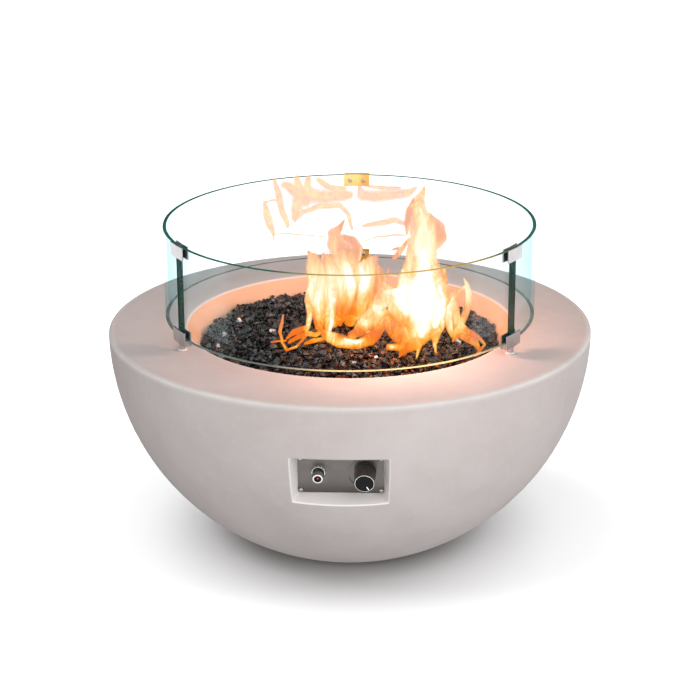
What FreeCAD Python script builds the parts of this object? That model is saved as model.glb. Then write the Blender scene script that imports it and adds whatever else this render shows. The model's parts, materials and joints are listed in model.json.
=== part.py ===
import FreeCAD, Part
import math
import os

# Floor-standing round gas fire bowl with a lift-off glass wind guard.
# Millimetres, +Z up, floor at z = 0, bowl axis on the Z axis, control recess facing -Y.

# ---------------------------------------------------------------- driving dimensions
FOOT_H = 6.0            # rubber foot height
SHELL_H = 470.0         # bowl height from its base plane to the rim plane
RIM_Z = FOOT_H + SHELL_H
BOWL_R = 525.0          # outer sphere radius, centred on the rim plane
WALL = 16.0             # cast wall thickness
SLAB = 26.0             # rim slab thickness
RIM_EDGE = 7.0          # outer rim edge radius
BASE_EDGE = 8.0         # base edge radius
BASE_T = 28.0           # base slab thickness
BASE_HOLE_R = 150.0     # vent and access hole in the base

LIP_R = 354.5           # fire basin mouth radius at the rim plane
BASIN_SLOPE = 0.7071    # radius lost per mm of depth on the basin wall
LEDGE_DROP = 55.0       # pan ledge below the rim plane
LEDGE_R = 296.0         # ledge inner radius
LEDGE_T = 20.0          # ledge thickness

PAN_T = 1.5
PAN_FLOOR_Z = 370.5     # underside of the pan floor
BED_EDGE_Z = RIM_Z - 38.5
BED_TOP_Z = RIM_Z - 8.0

RING_Z = 386.0          # burner tube centre height
RING_R1 = 110.0
RING_R2 = 200.0
TUBE_R = 8.0

GUARD_R = 401.0         # glass outer radius
GLASS_T = 8.0
GLASS_LOW = 28.5        # glass bottom edge above the rim
GLASS_H = 201.0
GLASS_GAP = 14.5        # gap between neighbouring panels
GUARD_ANGLES = (90.0, 210.0, 330.0)

CLAMP_HALF = 29.5       # half width of a clamp plate
CLAMP_T = 3.0
CLAMP_GAP = 1.0         # plate to glass
CLAMP_H = 28.0
CLAMP_SCREW_T = 15.8    # clamp screw offset from the gap centre

PLATE_W = 174.0         # control plate
PLATE_H = 93.0
PLATE_MID_V = 40.5
PLATE_T = 1.5
PLATE_TILT = 12.0       # degrees that the plate faces down
PLATE_Y = -436.5        # bottom edge of the recess back
PLATE_Z = RIM_Z - 212.0
KNOB_U, KNOB_V = 49.0, 48.0
IGN_U, IGN_V = -45.0, 45.0
KNOB_R = 21.9           # knob skirt and bezel
KNOB_FACE_R = 19.9      # knob radius at its face
KNOB_TRAVEL = 3.0
BUTTON_R = 10.7
BUTTON_TRAVEL = 4.0
RUN = 0.05              # running clearance, radial

INLET_Z = 200.0         # rear gas inlet height
INLET_Y = 420.0         # seat of the inlet plate
INLET_THREAD_R = 7.94   # 5/8 inch flare thread

os.makedirs("parts", exist_ok=True)
V = FreeCAD.Vector
NODES = {}


# ---------------------------------------------------------------- helpers
def vec(p):
    return V(float(p[0]), 0.0, float(p[1]))


def profile(items):
    """Closed face in the XZ plane. items are (r, z) points, or ("arc", mid, end)."""
    edges = []
    start = last = items[0]
    for it in items[1:]:
        if it[0] == "arc":
            edges.append(Part.Arc(vec(last), vec(it[1]), vec(it[2])).toShape())
            last = it[2]
        else:
            edges.append(Part.LineSegment(vec(last), vec(it)).toShape())
            last = it
    if abs(last[0] - start[0]) + abs(last[1] - start[1]) > 1e-6:
        edges.append(Part.LineSegment(vec(last), vec(start)).toShape())
    return Part.Face(Part.Wire(edges))


def spin(items, angle=360.0):
    return profile(items).revolve(V(0, 0, 0), V(0, 0, 1), angle)


def cyl(r, z0, z1, x=0.0, y=0.0):
    return Part.makeCylinder(r, z1 - z0, V(x, y, z0))


def tube(ro, ri, z0, z1, x=0.0, y=0.0):
    return cyl(ro, z0, z1, x, y).cut(cyl(ri, z0 - 1, z1 + 1, x, y))


def box(x0, x1, y0, y1, z0, z1):
    return Part.makeBox(x1 - x0, y1 - y0, z1 - z0, V(x0, y0, z0))


def hexagon(af, z0, z1, x=0.0, y=0.0, turn=0.0):
    r = af / math.sqrt(3.0)
    pts = [V(x + r * math.cos(math.radians(60 * i + turn)), y + r * math.sin(math.radians(60 * i + turn)), z0) for i in range(7)]
    s = Part.Face(Part.makePolygon(pts)).extrude(V(0, 0, z1 - z0))
    c = 0.07 * af
    round_off = spin([(0, z0), (af / 2 - 0.1, z0), (r + 0.1, z0 + c), (r + 0.1, z1 - c), (af / 2 - 0.1, z1), (0, z1)])
    round_off.translate(V(x, y, 0))
    return s.common(round_off)


def soften(shape, r, pick=None):
    """Fillet the picked edges, or leave the shape as it is where that fails."""
    edges = [e for e in shape.Edges if pick is None or pick(e)]
    if not edges:
        return shape
    try:
        out = shape.makeFillet(r, edges)
        if out.isValid() and out.Volume > 0:
            return out
    except Exception:
        pass
    return shape


def turned(shape, deg):
    s = shape.copy()
    s.rotate(V(0, 0, 0), V(0, 0, 1), deg)
    return s


def aim(shape, origin, direction):
    """Carry a shape built along +Z from the origin onto an axis."""
    s = shape.copy()
    s.Placement = FreeCAD.Placement(V(*origin), FreeCAD.Rotation(V(0, 0, 1), V(*direction))).multiply(s.Placement)
    return s


def run_of_pipe(points, radii, name):
    """Straight runs joined by tangent arcs, one solid per radius."""
    pts = [V(*p) for p in points]
    edges, last, bends = [], pts[0], []
    for i in range(1, len(pts) - 1):
        a, b, c = pts[i - 1], pts[i], pts[i + 1]
        d0, d1 = (b - a), (c - b)
        l0, l1 = d0.Length, d1.Length
        d0.normalize()
        d1.normalize()
        turn = d0.getAngle(d1)
        cut = 0.45 * min(l0, l1)
        bends.append(round(cut / math.tan(turn / 2), 1))
        p0, p1 = b - d0 * cut, b + d1 * cut
        rad = cut / math.tan(turn / 2)
        mid_dir = (d1 - d0)
        mid_dir.normalize()
        centre_dist = rad / math.cos(turn / 2)
        mid = b + mid_dir * (centre_dist - rad)
        edges.append(Part.LineSegment(last, p0).toShape())
        edges.append(Part.Arc(p0, mid, p1).toShape())
        last = p1
    edges.append(Part.LineSegment(last, pts[-1]).toShape())
    wire = Part.Wire(edges)
    start = pts[1] - pts[0]
    out = []
    for r in radii:
        ring = Part.Wire([Part.Circle(pts[0], start, r).toShape()])
        s = wire.makePipeShell([ring], True, True)
        want = math.pi * r * r * wire.Length
        if abs(s.Volume - want) > 0.02 * want:
            print("WARNING", name, "volume", s.Volume, "expected", want)
        out.append(s)
    print(name, "length", round(wire.Length, 1), "bend radii", bends)
    return out


def coil(r_mean, wire_r, z0, z1, turns):
    pitch = (z1 - z0 - 2 * wire_r) / turns
    helix = Part.makeHelix(pitch, pitch * turns, r_mean)
    ring = Part.Wire([Part.Circle(V(r_mean, 0, 0), V(0, 2 * math.pi * r_mean, pitch), wire_r).toShape()])
    s = Part.Wire(helix).makePipeShell([ring], True, True)
    s.translate(V(0, 0, z0 + wire_r))
    return s


def keep(name, *solids):
    flat = []
    for s in solids:
        flat.extend(s.Solids if s.Solids else [s])
    NODES[name] = flat[0] if len(flat) == 1 else Part.makeCompound(flat)


TILT = math.radians(PLATE_TILT)
SN, CS = math.sin(TILT), math.cos(TILT)
# control frame: local x across, local y up the plate, local z out of the plate
CTRL = FreeCAD.Placement(FreeCAD.Matrix(
    1, 0, 0, 0,
    0, -SN, -CS, PLATE_Y,
    0, CS, -SN, PLATE_Z,
    0, 0, 0, 1))


def on_panel(shape, u=0.0, v=0.0, w=0.0):
    s = shape.copy()
    s.translate(V(u, v, w))
    s.Placement = CTRL.multiply(s.Placement)
    return s


def panel_point(u, v, w):
    p = CTRL.multVec(V(u, v, w))
    return (p.x, p.y, p.z)


N_DIR = (0.0, -CS, -SN)
V_DIR = (0.0, -SN, CS)

# ---------------------------------------------------------------- bowl shell
ro, ri = BOWL_R, BOWL_R - WALL


def on_sphere(r, z):
    return math.sqrt(r * r - (RIM_Z - z) ** 2)


rc = math.sqrt((ro - RIM_EDGE) ** 2 - RIM_EDGE ** 2)
k = ro / (ro - RIM_EDGE)
rim_tan = (rc * k, RIM_Z - RIM_EDGE * k)
a_mid = math.radians(90 - (90 + math.degrees(math.atan2(RIM_EDGE, rc))) / 2)
rim_mid = (rc + RIM_EDGE * math.cos(a_mid), RIM_Z - RIM_EDGE + RIM_EDGE * math.sin(a_mid))

bz = FOOT_H
bc = math.sqrt((ro - BASE_EDGE) ** 2 - (SHELL_H - BASE_EDGE) ** 2)
kb = ro / (ro - BASE_EDGE)
base_tan = (bc * kb, RIM_Z - (SHELL_H - BASE_EDGE) * kb)
b_ang = (-90 + math.degrees(math.atan2(-(SHELL_H - BASE_EDGE), bc))) / 2
base_mid = (bc + BASE_EDGE * math.cos(math.radians(b_ang)), bz + BASE_EDGE + BASE_EDGE * math.sin(math.radians(b_ang)))
out_mid_z = 200.0

LEDGE_Z = RIM_Z - LEDGE_DROP
WALL_FOOT_R = LIP_R - LEDGE_DROP * BASIN_SLOPE
LIP_EDGE = 5.0
dl = math.hypot(1.0, BASIN_SLOPE)
lip_in = (LIP_R - LIP_EDGE * BASIN_SLOPE / dl, RIM_Z - LIP_EDGE / dl)
lip_out = (LIP_R + LIP_EDGE, RIM_Z)
lip_mid = (LIP_R + 0.30 * LIP_EDGE, RIM_Z - 0.22 * LIP_EDGE)

slab_z = RIM_Z - SLAB
in_base_z = FOOT_H + BASE_T
shell = spin([
    (BASE_HOLE_R + 3, bz),
    (bc, bz),
    ("arc", base_mid, base_tan),
    ("arc", (on_sphere(ro, out_mid_z), out_mid_z), rim_tan),
    ("arc", rim_mid, (rc, RIM_Z)),
    lip_out,
    ("arc", lip_mid, lip_in),
    (WALL_FOOT_R, LEDGE_Z),
    (LEDGE_R + 2, LEDGE_Z),
    (LEDGE_R, LEDGE_Z - 2),
    (LEDGE_R, LEDGE_Z - LEDGE_T),
    (LEDGE_R + 22, LEDGE_Z - LEDGE_T),
    (LIP_R + 2, slab_z),
    (on_sphere(ri, slab_z), slab_z),
    ("arc", (on_sphere(ri, 200.0), 200.0), (on_sphere(ri, in_base_z), in_base_z)),
    (BASE_HOLE_R + 3, in_base_z),
    (BASE_HOLE_R, in_base_z - 3),
    (BASE_HOLE_R, bz + 3),
])


def frustum(u_half0, v0, v1, w0, grow_u, grow_low, grow_high, w1):
    """Tapered block in the control frame from depth w0 out to w1."""
    d = w1 - w0
    r0 = [V(-u_half0, v0, w0), V(u_half0, v0, w0), V(u_half0, v1, w0), V(-u_half0, v1, w0), V(-u_half0, v0, w0)]
    a = u_half0 + grow_u * d
    lo, hi = v0 - grow_low * d, v1 + grow_high * d
    r1 = [V(-a, lo, w1), V(a, lo, w1), V(a, hi, w1), V(-a, hi, w1), V(-a, lo, w1)]
    return Part.makeLoft([Part.makePolygon(r0), Part.makePolygon(r1)], True, True)


mid_sphere = Part.makeSphere(ro - 0.5 * WALL, V(0, 0, RIM_Z))
surround = on_panel(frustum(101.0, -20.0, 101.0, -15.6, 0.27, 0.13, 0.40, 80.0)).common(mid_sphere)
pocket = frustum(88.0, -7.0, 88.0, -PLATE_T - 0.05, 0.245, 0.10, 0.40, 90.0)


def slanted(e):
    a, b = e.Vertexes[0].Point, e.Vertexes[-1].Point
    return abs(a.z - b.z) > 50


pocket = on_panel(soften(pocket, 6.0, slanted))
window = on_panel(soften(box(-64, 74, 20, 70, -30, 5), 4.0, lambda e: abs(e.Vertexes[0].Point.z - e.Vertexes[-1].Point.z) > 30))

boss = Part.makeCylinder(42.0, 100.0, V(0, INLET_Y - 16.0, INLET_Z), V(0, 1, 0)).common(mid_sphere)
recess = Part.makeCylinder(34.0, 120.0, V(0, INLET_Y, INLET_Z), V(0, 1, 0))
inlet_hole = Part.makeCylinder(9.8, 60.0, V(0, INLET_Y - 40.0, INLET_Z), V(0, 1, 0))

shell = shell.fuse([surround, boss])
shell = shell.cut([pocket, window, recess, inlet_hole])


def mouth_edge(e):
    """Edges where the recess walls meet the outer sphere."""
    m = e.valueAt((e.FirstParameter + e.LastParameter) / 2)
    on = all(abs(p.Point.sub(V(0, 0, RIM_Z)).Length - ro) < 0.02 for p in e.Vertexes)
    return on and abs(m.sub(V(0, 0, RIM_Z)).Length - ro) < 0.6 and m.y < -400 and RIM_Z - 240 < m.z < RIM_Z - 90 and abs(m.x) < 125


def inlet_edge(e):
    m = e.valueAt((e.FirstParameter + e.LastParameter) / 2)
    on = all(abs(p.Point.sub(V(0, 0, RIM_Z)).Length - ro) < 0.02 for p in e.Vertexes)
    return on and m.y > 380 and abs(m.x) < 40 and abs(m.z - INLET_Z) < 40


n_before = len(shell.Faces)
shell = soften(shell, 3.0, mouth_edge)
print("recess edge rounding added", len(shell.Faces) - n_before, "faces")
n_before = len(shell.Faces)
shell = soften(shell, 2.0, inlet_edge)
print("inlet edge rounding added", len(shell.Faces) - n_before, "faces")

PLATE_SCREWS = [(-81.0, 1.5), (81.5, 1.5), (-81.0, 79.0), (81.5, 79.0)]
for u, v in PLATE_SCREWS:
    shell = shell.cut(on_panel(cyl(2.05, -13.0, 0.0), u, v))
INLET_SCREWS = [(23.0 * math.sin(math.radians(a)), 23.0 * math.cos(math.radians(a))) for a in (0, 120, 240)]
for dx, dz in INLET_SCREWS:
    shell = shell.cut(Part.makeCylinder(1.95, 13.0, V(dx, INLET_Y - 12.5, INLET_Z + dz), V(0, 1, 0)))
CLIP_X, CLIP_Y, PIPE_Z = 195.0, 5.0, FOOT_H + BASE_T + 10.0
for dx in (-13.0, 13.0):
    shell = shell.cut(cyl(1.65, in_base_z - 11.0, in_base_z + 1, CLIP_X + dx, CLIP_Y))
keep("bowl_shell", shell)

foot = spin([(0, 0), (19.5, 0), ("arc", (21.3, 0.7), (22, 2.5)), (22, FOOT_H), (0, FOOT_H)])
feet = []
for a in (45, 135, 225, 315):
    f = foot.copy()
    f.translate(V(195 * math.cos(math.radians(a)), 195 * math.sin(math.radians(a)), 0))
    feet.append(f)
keep("rubber_feet", *feet)

# ---------------------------------------------------------------- burner pan and burner
pf = PAN_FLOOR_Z
pan = spin([
    (14.2, pf), (283.0, pf), ("arc", (285.6, pf + 1.0), (286.6, pf + 4.0)),
    (293.3, LEDGE_Z + 0.05), (WALL_FOOT_R - 1.2, LEDGE_Z + 0.05), (WALL_FOOT_R - 1.2, LEDGE_Z + 0.05 + PAN_T),
    (292.0, LEDGE_Z + 0.05 + PAN_T), (285.0, pf + 4.5), ("arc", (284.2, pf + 2.3), (282.0, pf + PAN_T)), (14.2, pf + PAN_T)])
PILOT_Y = -155.0
pan_holes = [cyl(6.2, pf - 5, pf + 5, -8.5, PILOT_Y), cyl(6.2, pf - 5, pf + 5, 8.5, PILOT_Y)]
for a in range(0, 360, 60):
    pan_holes.append(cyl(4.0, pf - 5, pf + 5, 245 * math.cos(math.radians(a + 30)), 245 * math.sin(math.radians(a + 30))))
for x in (-15.0, 15.0):
    pan_holes.append(cyl(2.2, pf - 5, pf + 5, x, PILOT_Y + 12.0))
pan = pan.cut(pan_holes)
keep("burner_pan", pan)

pan_top = pf + PAN_T
hub = spin([(0, pan_top + 0.05), (21, pan_top + 0.05), (21, 395), (18, 398.5), (0, 398.5)])
body = Part.makeTorus(RING_R1, TUBE_R, V(0, 0, RING_Z)).fuse(Part.makeTorus(RING_R2, TUBE_R, V(0, 0, RING_Z)))
spokes, bores = [], []
for a in (0, 90, 180, 270):
    spokes.append(turned(Part.makeCylinder(6.0, RING_R2 - 4, V(4, 0, RING_Z), V(1, 0, 0)), a + 45))
    bores.append(turned(Part.makeCylinder(4.8, RING_R2 - 4, V(4, 0, RING_Z), V(1, 0, 0)), a + 45))
body = body.fuse(spokes + [hub])
void = Part.makeTorus(RING_R1, TUBE_R - 1.2, V(0, 0, RING_Z)).fuse([Part.makeTorus(RING_R2, TUBE_R - 1.2, V(0, 0, RING_Z)), cyl(10.0, 380, 394)] + bores)
body = body.cut(void)
body = body.cut(cyl(12.85, pan_top - 1, 384.0))
ports = []
for i in range(30):
    a = math.radians(12 * i + 3)
    ports.append(cyl(1.5, RING_Z + 2, RING_Z + 12, RING_R2 * math.cos(a), RING_R2 * math.sin(a)))
for i in range(18):
    a = math.radians(20 * i + 5)
    ports.append(cyl(1.5, RING_Z + 2, RING_Z + 12, RING_R1 * math.cos(a), RING_R1 * math.sin(a)))
body = body.cut(ports)
keep("burner_ring", body)

NIP_LOW = 327.0
keep("burner_nipple", tube(12.8, 9.5, NIP_LOW, 383.5))
keep("burner_locknut", hexagon(36.0, pf - 9.05, pf - 0.05).cut(cyl(12.85, 350, 380)))

mixer = spin([(6.55, 286), (15.5, 286), (17, 287.5), (17, 334.5), (15.5, 336), (12.85, 336), (12.85, 326.5), (9.0, 325), (7.5, 316), (11.0, 303), (11.0, 293), (6.55, 293)])
slots = []
for a in (0, 90, 180, 270):
    slots.append(turned(soften(box(8, 20, -4, 4, 295, 310), 2.5, lambda e: abs(e.Vertexes[0].Point.x - e.Vertexes[-1].Point.x) > 8), a))
keep("air_mixer", mixer.cut(slots))

spud = spin([(0, 262), (7.0, 262), (7.0, 276), (6.5, 276), (6.5, 294), (3.5, 300), (0, 300)]).fuse(hexagon(17.0, 276.5, 285.9))
spud = spud.cut(spin([(0, 261), (4.2, 261), (4.2, 290), (0.8, 294), (0.8, 301), (0, 301)]))
keep("gas_orifice", spud)

# ---------------------------------------------------------------- pilot group under the fire glass
bracket = box(-22, 22, PILOT_Y - 20, PILOT_Y + 20, pan_top + 0.05, pan_top + 1.55).fuse(box(-15, 15, PILOT_Y + 4.5, PILOT_Y + 6.0, pan_top + 0.05, pan_top + 30))
bracket = bracket.fuse(box(-15, 15, PILOT_Y - 6, PILOT_Y + 6, pan_top + 28.5, pan_top + 30))
bracket = bracket.cut([cyl(4.2, pf - 5, pf + 8, -8.5, PILOT_Y), cyl(4.2, pf - 5, pf + 8, 8.5, PILOT_Y),
                       cyl(3.55, 390, 410, -8.5, PILOT_Y), cyl(3.05, 390, 410, 8.5, PILOT_Y),
                       cyl(2.2, pf - 5, pf + 8, -15.0, PILOT_Y + 12.0), cyl(2.2, pf - 5, pf + 8, 15.0, PILOT_Y + 12.0)])
keep("pilot_bracket", bracket)
grommets = []
for x, rr in ((-8.5, 3.55), (8.5, 3.05)):
    g = spin([(rr, pf - 3), (8.0, pf - 3), (8.0, pf - 0.05), (6.1, pf - 0.05), (6.1, pan_top), (rr, pan_top)])
    g.translate(V(x, PILOT_Y, 0))
    grommets.append(g)
keep("pan_grommets", *grommets)
ceramic = spin([(1.15, 350), (2.5, 350), (3.5, 351.5), (3.5, 418), (2.2, 421), (1.15, 421)])
ceramic.translate(V(-8.5, PILOT_Y, 0))
keep("electrode_insulator", ceramic)
rod, = run_of_pipe([(-8.5, PILOT_Y, 345), (-8.5, PILOT_Y, 427), (1.0, PILOT_Y, 433)], [1.1], "electrode_rod")
keep("electrode_rod", rod)
probe = spin([(0, 350), (2.2, 350), (3.0, 352), (3.0, 421), (2.2, 424), (0, 424.6)])
probe.translate(V(8.5, PILOT_Y, 0))
keep("thermocouple_probe", probe)
hood = spin([(24.2, pan_top + 1.6), (25.2, pan_top + 1.6), (25.2, 436), ("arc", (24.0, 440.0), (20, 441.5)), (0, 441.5), (0, 440.5), (20, 440.5), ("arc", (23.2, 439.2), (24.2, 436))])
hood.translate(V(0, PILOT_Y, 0))
vents = []
for z in (392.0, 408.0, 424.0):
    for a in range(0, 360, 30):
        c = Part.makeCylinder(2.6, 12, V(18, 0, z), V(1, 0, 0))
        c = turned(c, a)
        c.translate(V(0, PILOT_Y, 0))
        vents.append(c)
keep("pilot_hood", hood.cut(vents))
pan_screws = []
for x in (-15.0, 15.0):
    s = spin([(0, pan_top + 1.6), (3.6, pan_top + 1.6), (3.2, pan_top + 3.4), (0, pan_top + 4.0)]).fuse(cyl(2.0, pf - 7, pan_top + 1.65)).fuse(hexagon(7.0, pf - 4.0, pf - 0.05))
    s.translate(V(x, PILOT_Y + 12.0, 0))
    pan_screws.append(s)
keep("bracket_screws", *pan_screws)

# ---------------------------------------------------------------- fire glass bed
fl = LEDGE_Z + 0.05 + PAN_T
edge_r = LIP_R - (RIM_Z - BED_EDGE_Z) * BASIN_SLOPE - 0.6
foot_r = LIP_R - (RIM_Z - fl) * BASIN_SLOPE - 0.6
bed = spin([(0, pan_top + 0.05), (281.5, pan_top + 0.05), (285.0, pan_top + 4.0), (291.3, fl + 0.05), (foot_r, fl + 0.05), (edge_r, BED_EDGE_Z),
            ("arc", (edge_r * 0.52, BED_TOP_Z - 6.8), (24, BED_TOP_Z)), (0, BED_TOP_Z)])
grooves = [tube(RING_R1 + 8.4, RING_R1 - 8.4, 360, RING_Z + 8.4), tube(RING_R2 + 8.4, RING_R2 - 8.4, 360, RING_Z + 8.4), cyl(21.6, 360, 399.2),
           cyl(26.5, 360, 444.0, 0, PILOT_Y), box(-23, 23, PILOT_Y - 21, PILOT_Y + 21, 360, 376.5)]
for a in (0, 90, 180, 270):
    grooves.append(turned(box(10, RING_R2, -6.4, 6.4, 360, RING_Z + 6.4), a + 45))
bed = bed.cut(grooves)
keep("fire_glass_bed", bed)

# ---------------------------------------------------------------- control plate and its screws
plate = box(-PLATE_W / 2, PLATE_W / 2, PLATE_MID_V - PLATE_H / 2, PLATE_MID_V + PLATE_H / 2, -PLATE_T, 0)
plate = soften(plate, 4.0, lambda e: abs(e.Vertexes[0].Point.z - e.Vertexes[-1].Point.z) > 1)
plate = plate.cut([cyl(7.8, -5, 5, KNOB_U, KNOB_V), cyl(12.35, -5, 5, IGN_U, IGN_V)] + [cyl(2.3, -5, 5, u, v) for u, v in PLATE_SCREWS])
keep("control_plate", on_panel(plate))
screw = spin([(0, 0.05), (4.3, 0.05), (4.3, 3.3), ("arc", (3.75, 4.4), (2.2, 4.9)), (0, 4.9)])
cross = box(-2.4, 2.4, -0.55, 0.55, 3.2, 6.0).fuse(box(-0.55, 0.55, -2.4, 2.4, 3.2, 6.0))
screw = screw.cut(cross).fuse(cyl(2.0, -12.5, 0.1))
keep("plate_screws", *[on_panel(turned(screw, 20 + 35 * i), u, v) for i, (u, v) in enumerate(PLATE_SCREWS)])

# ---------------------------------------------------------------- gas valve
vb = soften(box(-19, 19, -19, 19, -62, -7), 4.0, lambda e: abs(e.Vertexes[0].Point.z - e.Vertexes[-1].Point.z) > 30)
vb = vb.fuse([cyl(13.0, -8, -PLATE_T - 0.05), Part.makeCylinder(7.0, 13.5, V(0, -18.5, -48), V(0, -1, 0)), cyl(7.0, -75.0, -61.0),
              Part.makeCylinder(5.0, 9.0, V(-18.5, 0, -34), V(-1, 0, 0))])
vb = vb.cut([cyl(9.0, -18.0, 0), cyl(4.6, -21, -17), cyl(12.0 + RUN, -56.0, -20.0), cyl(4.0, -80, -55),
             Part.makeCylinder(4.0, 45, V(0, 0, -48), V(0, -1, 0))])
keep("valve_body", on_panel(vb, KNOB_U, KNOB_V))
bush = spin([(4.0 + RUN, -6.0), (8.95, -6.0), (8.95, -PLATE_T - 0.1), (7.5, -PLATE_T - 0.1), (7.5, 5.4), (6.9, 6.0), (4.0 + RUN, 6.0)])
keep("valve_bushing", on_panel(bush, KNOB_U, KNOB_V))
keep("valve_nut", on_panel(hexagon(20.0, 0.05, 4.05).cut(cyl(7.55, -1, 6)), KNOB_U, KNOB_V))
bezel = spin([(16.0, 0.05), (KNOB_R, 0.05), (KNOB_R, 4.5), ("arc", (KNOB_R - 0.45, 5.55), (KNOB_R - 1.5, 6.0)), (16.6, 6.0), (16.0, 5.4)])
keep("knob_bezel", on_panel(bezel, KNOB_U, KNOB_V))

D_FLAT = 2.9
rotor = cyl(12.0, -55.5, -20.5)
d_bore = cyl(4.0 + RUN, -40.0, -19.0).cut(box(-6, 6, D_FLAT + RUN, 8, -41, -18))
rotor = rotor.cut([d_bore, Part.makeCylinder(3.0, 20, V(0, 0, -48), V(0, -1, 0)), cyl(3.0, -60, -48)])
keep("valve_rotor", on_panel(turned(rotor, 0), KNOB_U, KNOB_V))
stem = cyl(4.0, -33.0, 37.0).cut([box(-6, 6, D_FLAT, 8, -34, -15.5), box(-6, 6, D_FLAT, 8, 18, 38)])
stem = stem.fuse(cyl(7.5, -9.3, -6.3))
keep("valve_stem", on_panel(stem, KNOB_U, KNOB_V))
keep("valve_spring", on_panel(coil(6.5, 0.5, -17.9, -9.4, 4.0), KNOB_U, KNOB_V))

# control knob: tapered skirt and hub, face cap, silver ring and pointer
FACE_W = 45.0
KF = KNOB_FACE_R
kb_pts = [(0, 20), (13.0, 20), (13.0, 3.6), (15.0, 3.6), (15.4, 4.0), (15.4, 9.6), (KNOB_R - 0.8, 9.6), (KNOB_R, 10.4), (KNOB_R, 16.0), (KF + 0.1, FACE_W - 2.0),
          ("arc", (KF - 0.03, FACE_W - 1.1), (KF - 0.25, FACE_W - 0.6)), (KF - 0.45, FACE_W - 0.6), (KF - 0.45, FACE_W - 2.0), (0, FACE_W - 2.0)]
knob = spin(kb_pts).cut(cyl(4.02, 15, 38.0).cut(box(-6, 6, D_FLAT + 0.02, 8, 14, 39)))
flutes = []
for i in range(36):
    flutes.append(turned(Part.makeCylinder(0.55, 24.5, V(KNOB_R + 0.15, 0, 17.0), V(KF - KNOB_R + 0.1, 0, FACE_W - 18.0)), 10 * i))
knob = knob.cut(flutes)
keep("knob_body", on_panel(knob, KNOB_U, KNOB_V))
ring = spin([(KF - 1.25, FACE_W - 1.95), (KF - 0.5, FACE_W - 1.95), (KF - 0.5, FACE_W - 0.2), ("arc", (KF - 0.75, FACE_W + 0.05), (KF - 1.0, FACE_W + 0.1)), (KF - 1.25, FACE_W)])
keep("knob_trim_ring", on_panel(ring, KNOB_U, KNOB_V))
cap = spin([(0, FACE_W - 1.95), (KF - 1.3, FACE_W - 1.95), (KF - 1.3, FACE_W - 0.4), ("arc", (KF - 3.4, FACE_W - 0.05), (KF - 6.4, FACE_W)), (0, FACE_W)])
slot = soften(box(-1.1, 1.1, 8.8, 17.6, FACE_W - 0.8, FACE_W + 1), 1.0, lambda e: abs(e.Vertexes[0].Point.z - e.Vertexes[-1].Point.z) > 1)
mark = soften(box(-1.05, 1.05, 8.85, 17.55, FACE_W - 0.75, FACE_W + 0.12), 0.95, lambda e: abs(e.Vertexes[0].Point.z - e.Vertexes[-1].Point.z) > 0.5)
POINTER = -150.0
keep("knob_cap", on_panel(turned(cap.cut(slot), POINTER), KNOB_U, KNOB_V))
keep("knob_pointer", on_panel(turned(mark, POINTER), KNOB_U, KNOB_V))

# ---------------------------------------------------------------- push-button spark igniter
house = spin([(BUTTON_R + 0.1, -5.0), (15.5, -5.0), (15.5, -PLATE_T - 0.1), (12.2, -PLATE_T - 0.1), (12.2, 13.6), (11.6, 14.5), (BUTTON_R + 0.1, 14.5)])
case = spin([(11.0, -5.0), (14.0, -5.0), (14.0, -83.0), (13.0, -84.0), (0, -84.0), (0, -81.0), (11.0, -81.0)])
house = house.fuse(case)
grooves = [tube(13.0, 11.75, z, z + 0.7) for z in (6.0, 7.6, 9.2, 10.8, 12.2)]
house = house.cut(grooves)
keep("igniter_housing", on_panel(house, IGN_U, IGN_V))
collar = spin([(12.25, 0.05), (14.0, 0.05), (14.0, 3.8), ("arc", (13.65, 4.65), (12.8, 5.0)), (12.25, 5.0)])
notch = [turned(box(13.45, 15, -1.2, 1.2, 1.0, 3.4), 30 * i) for i in range(12)]
keep("igniter_collar", on_panel(collar.cut(notch), IGN_U, IGN_V))
button = spin([(8.0, -1.0), (BUTTON_R, -1.0), (BUTTON_R, 25.4), ("arc", (BUTTON_R - 0.45, 26.5), (BUTTON_R - 1.4, 27.0)), (7.6, 27.0), (7.6, 24.5), (0, 24.5), (0, 20.0), (8.0, 20.0)])
keep("igniter_button", on_panel(button, IGN_U, IGN_V))
disc = spin([(2.15, 24.55), (7.55, 24.55), (7.55, 25.4), (6.9, 25.6), (2.5, 25.6), (2.15, 25.4)])
keep("button_insert", on_panel(disc, IGN_U, IGN_V))
dot = spin([(0, 24.55), (2.1, 24.55), (2.1, 25.3), ("arc", (1.4, 25.8), (0.5, 26.0)), (0, 26.0)])
keep("button_lens", on_panel(dot, IGN_U, IGN_V))
cell = spin([(0, -76.0), (6.6, -76.0), (7.1, -75.4), (7.1, -27.8), (6.6, -27.2), (2.75, -27.2), (2.75, -26.0), (0, -26.0)])
keep("battery_cell", on_panel(cell, IGN_U, IGN_V))
sleeve = tube(10.9, 7.4, -76.2, -28.0)
keep("battery_sleeve", on_panel(sleeve, IGN_U, IGN_V))
contact = spin([(0, -80.95), (8.0, -80.95), (8.0, -80.2), (3.5, -80.2), (2.5, -76.3), (2.0, -76.1), (0, -76.1)])
keep("battery_contact", on_panel(contact, IGN_U, IGN_V))
keep("igniter_spring", on_panel(coil(4.6, 0.8, -27.15, 19.9, 6.0), IGN_U, IGN_V))

# ---------------------------------------------------------------- gas line: flare nuts, pipe and hose
nut = hexagon(19.0, 0, 20.0).cut([cyl(6.15, -1, 9), cyl(7.0 + 0.05, 8.0, 21)])
out_end = panel_point(KNOB_U, KNOB_V, -75.0)
in_end = panel_point(KNOB_U, KNOB_V - 32.0, -48.0)


def back(p, d, dist):
    return (p[0] + d[0] * dist, p[1] + d[1] * dist, p[2] + d[2] * dist)


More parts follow.
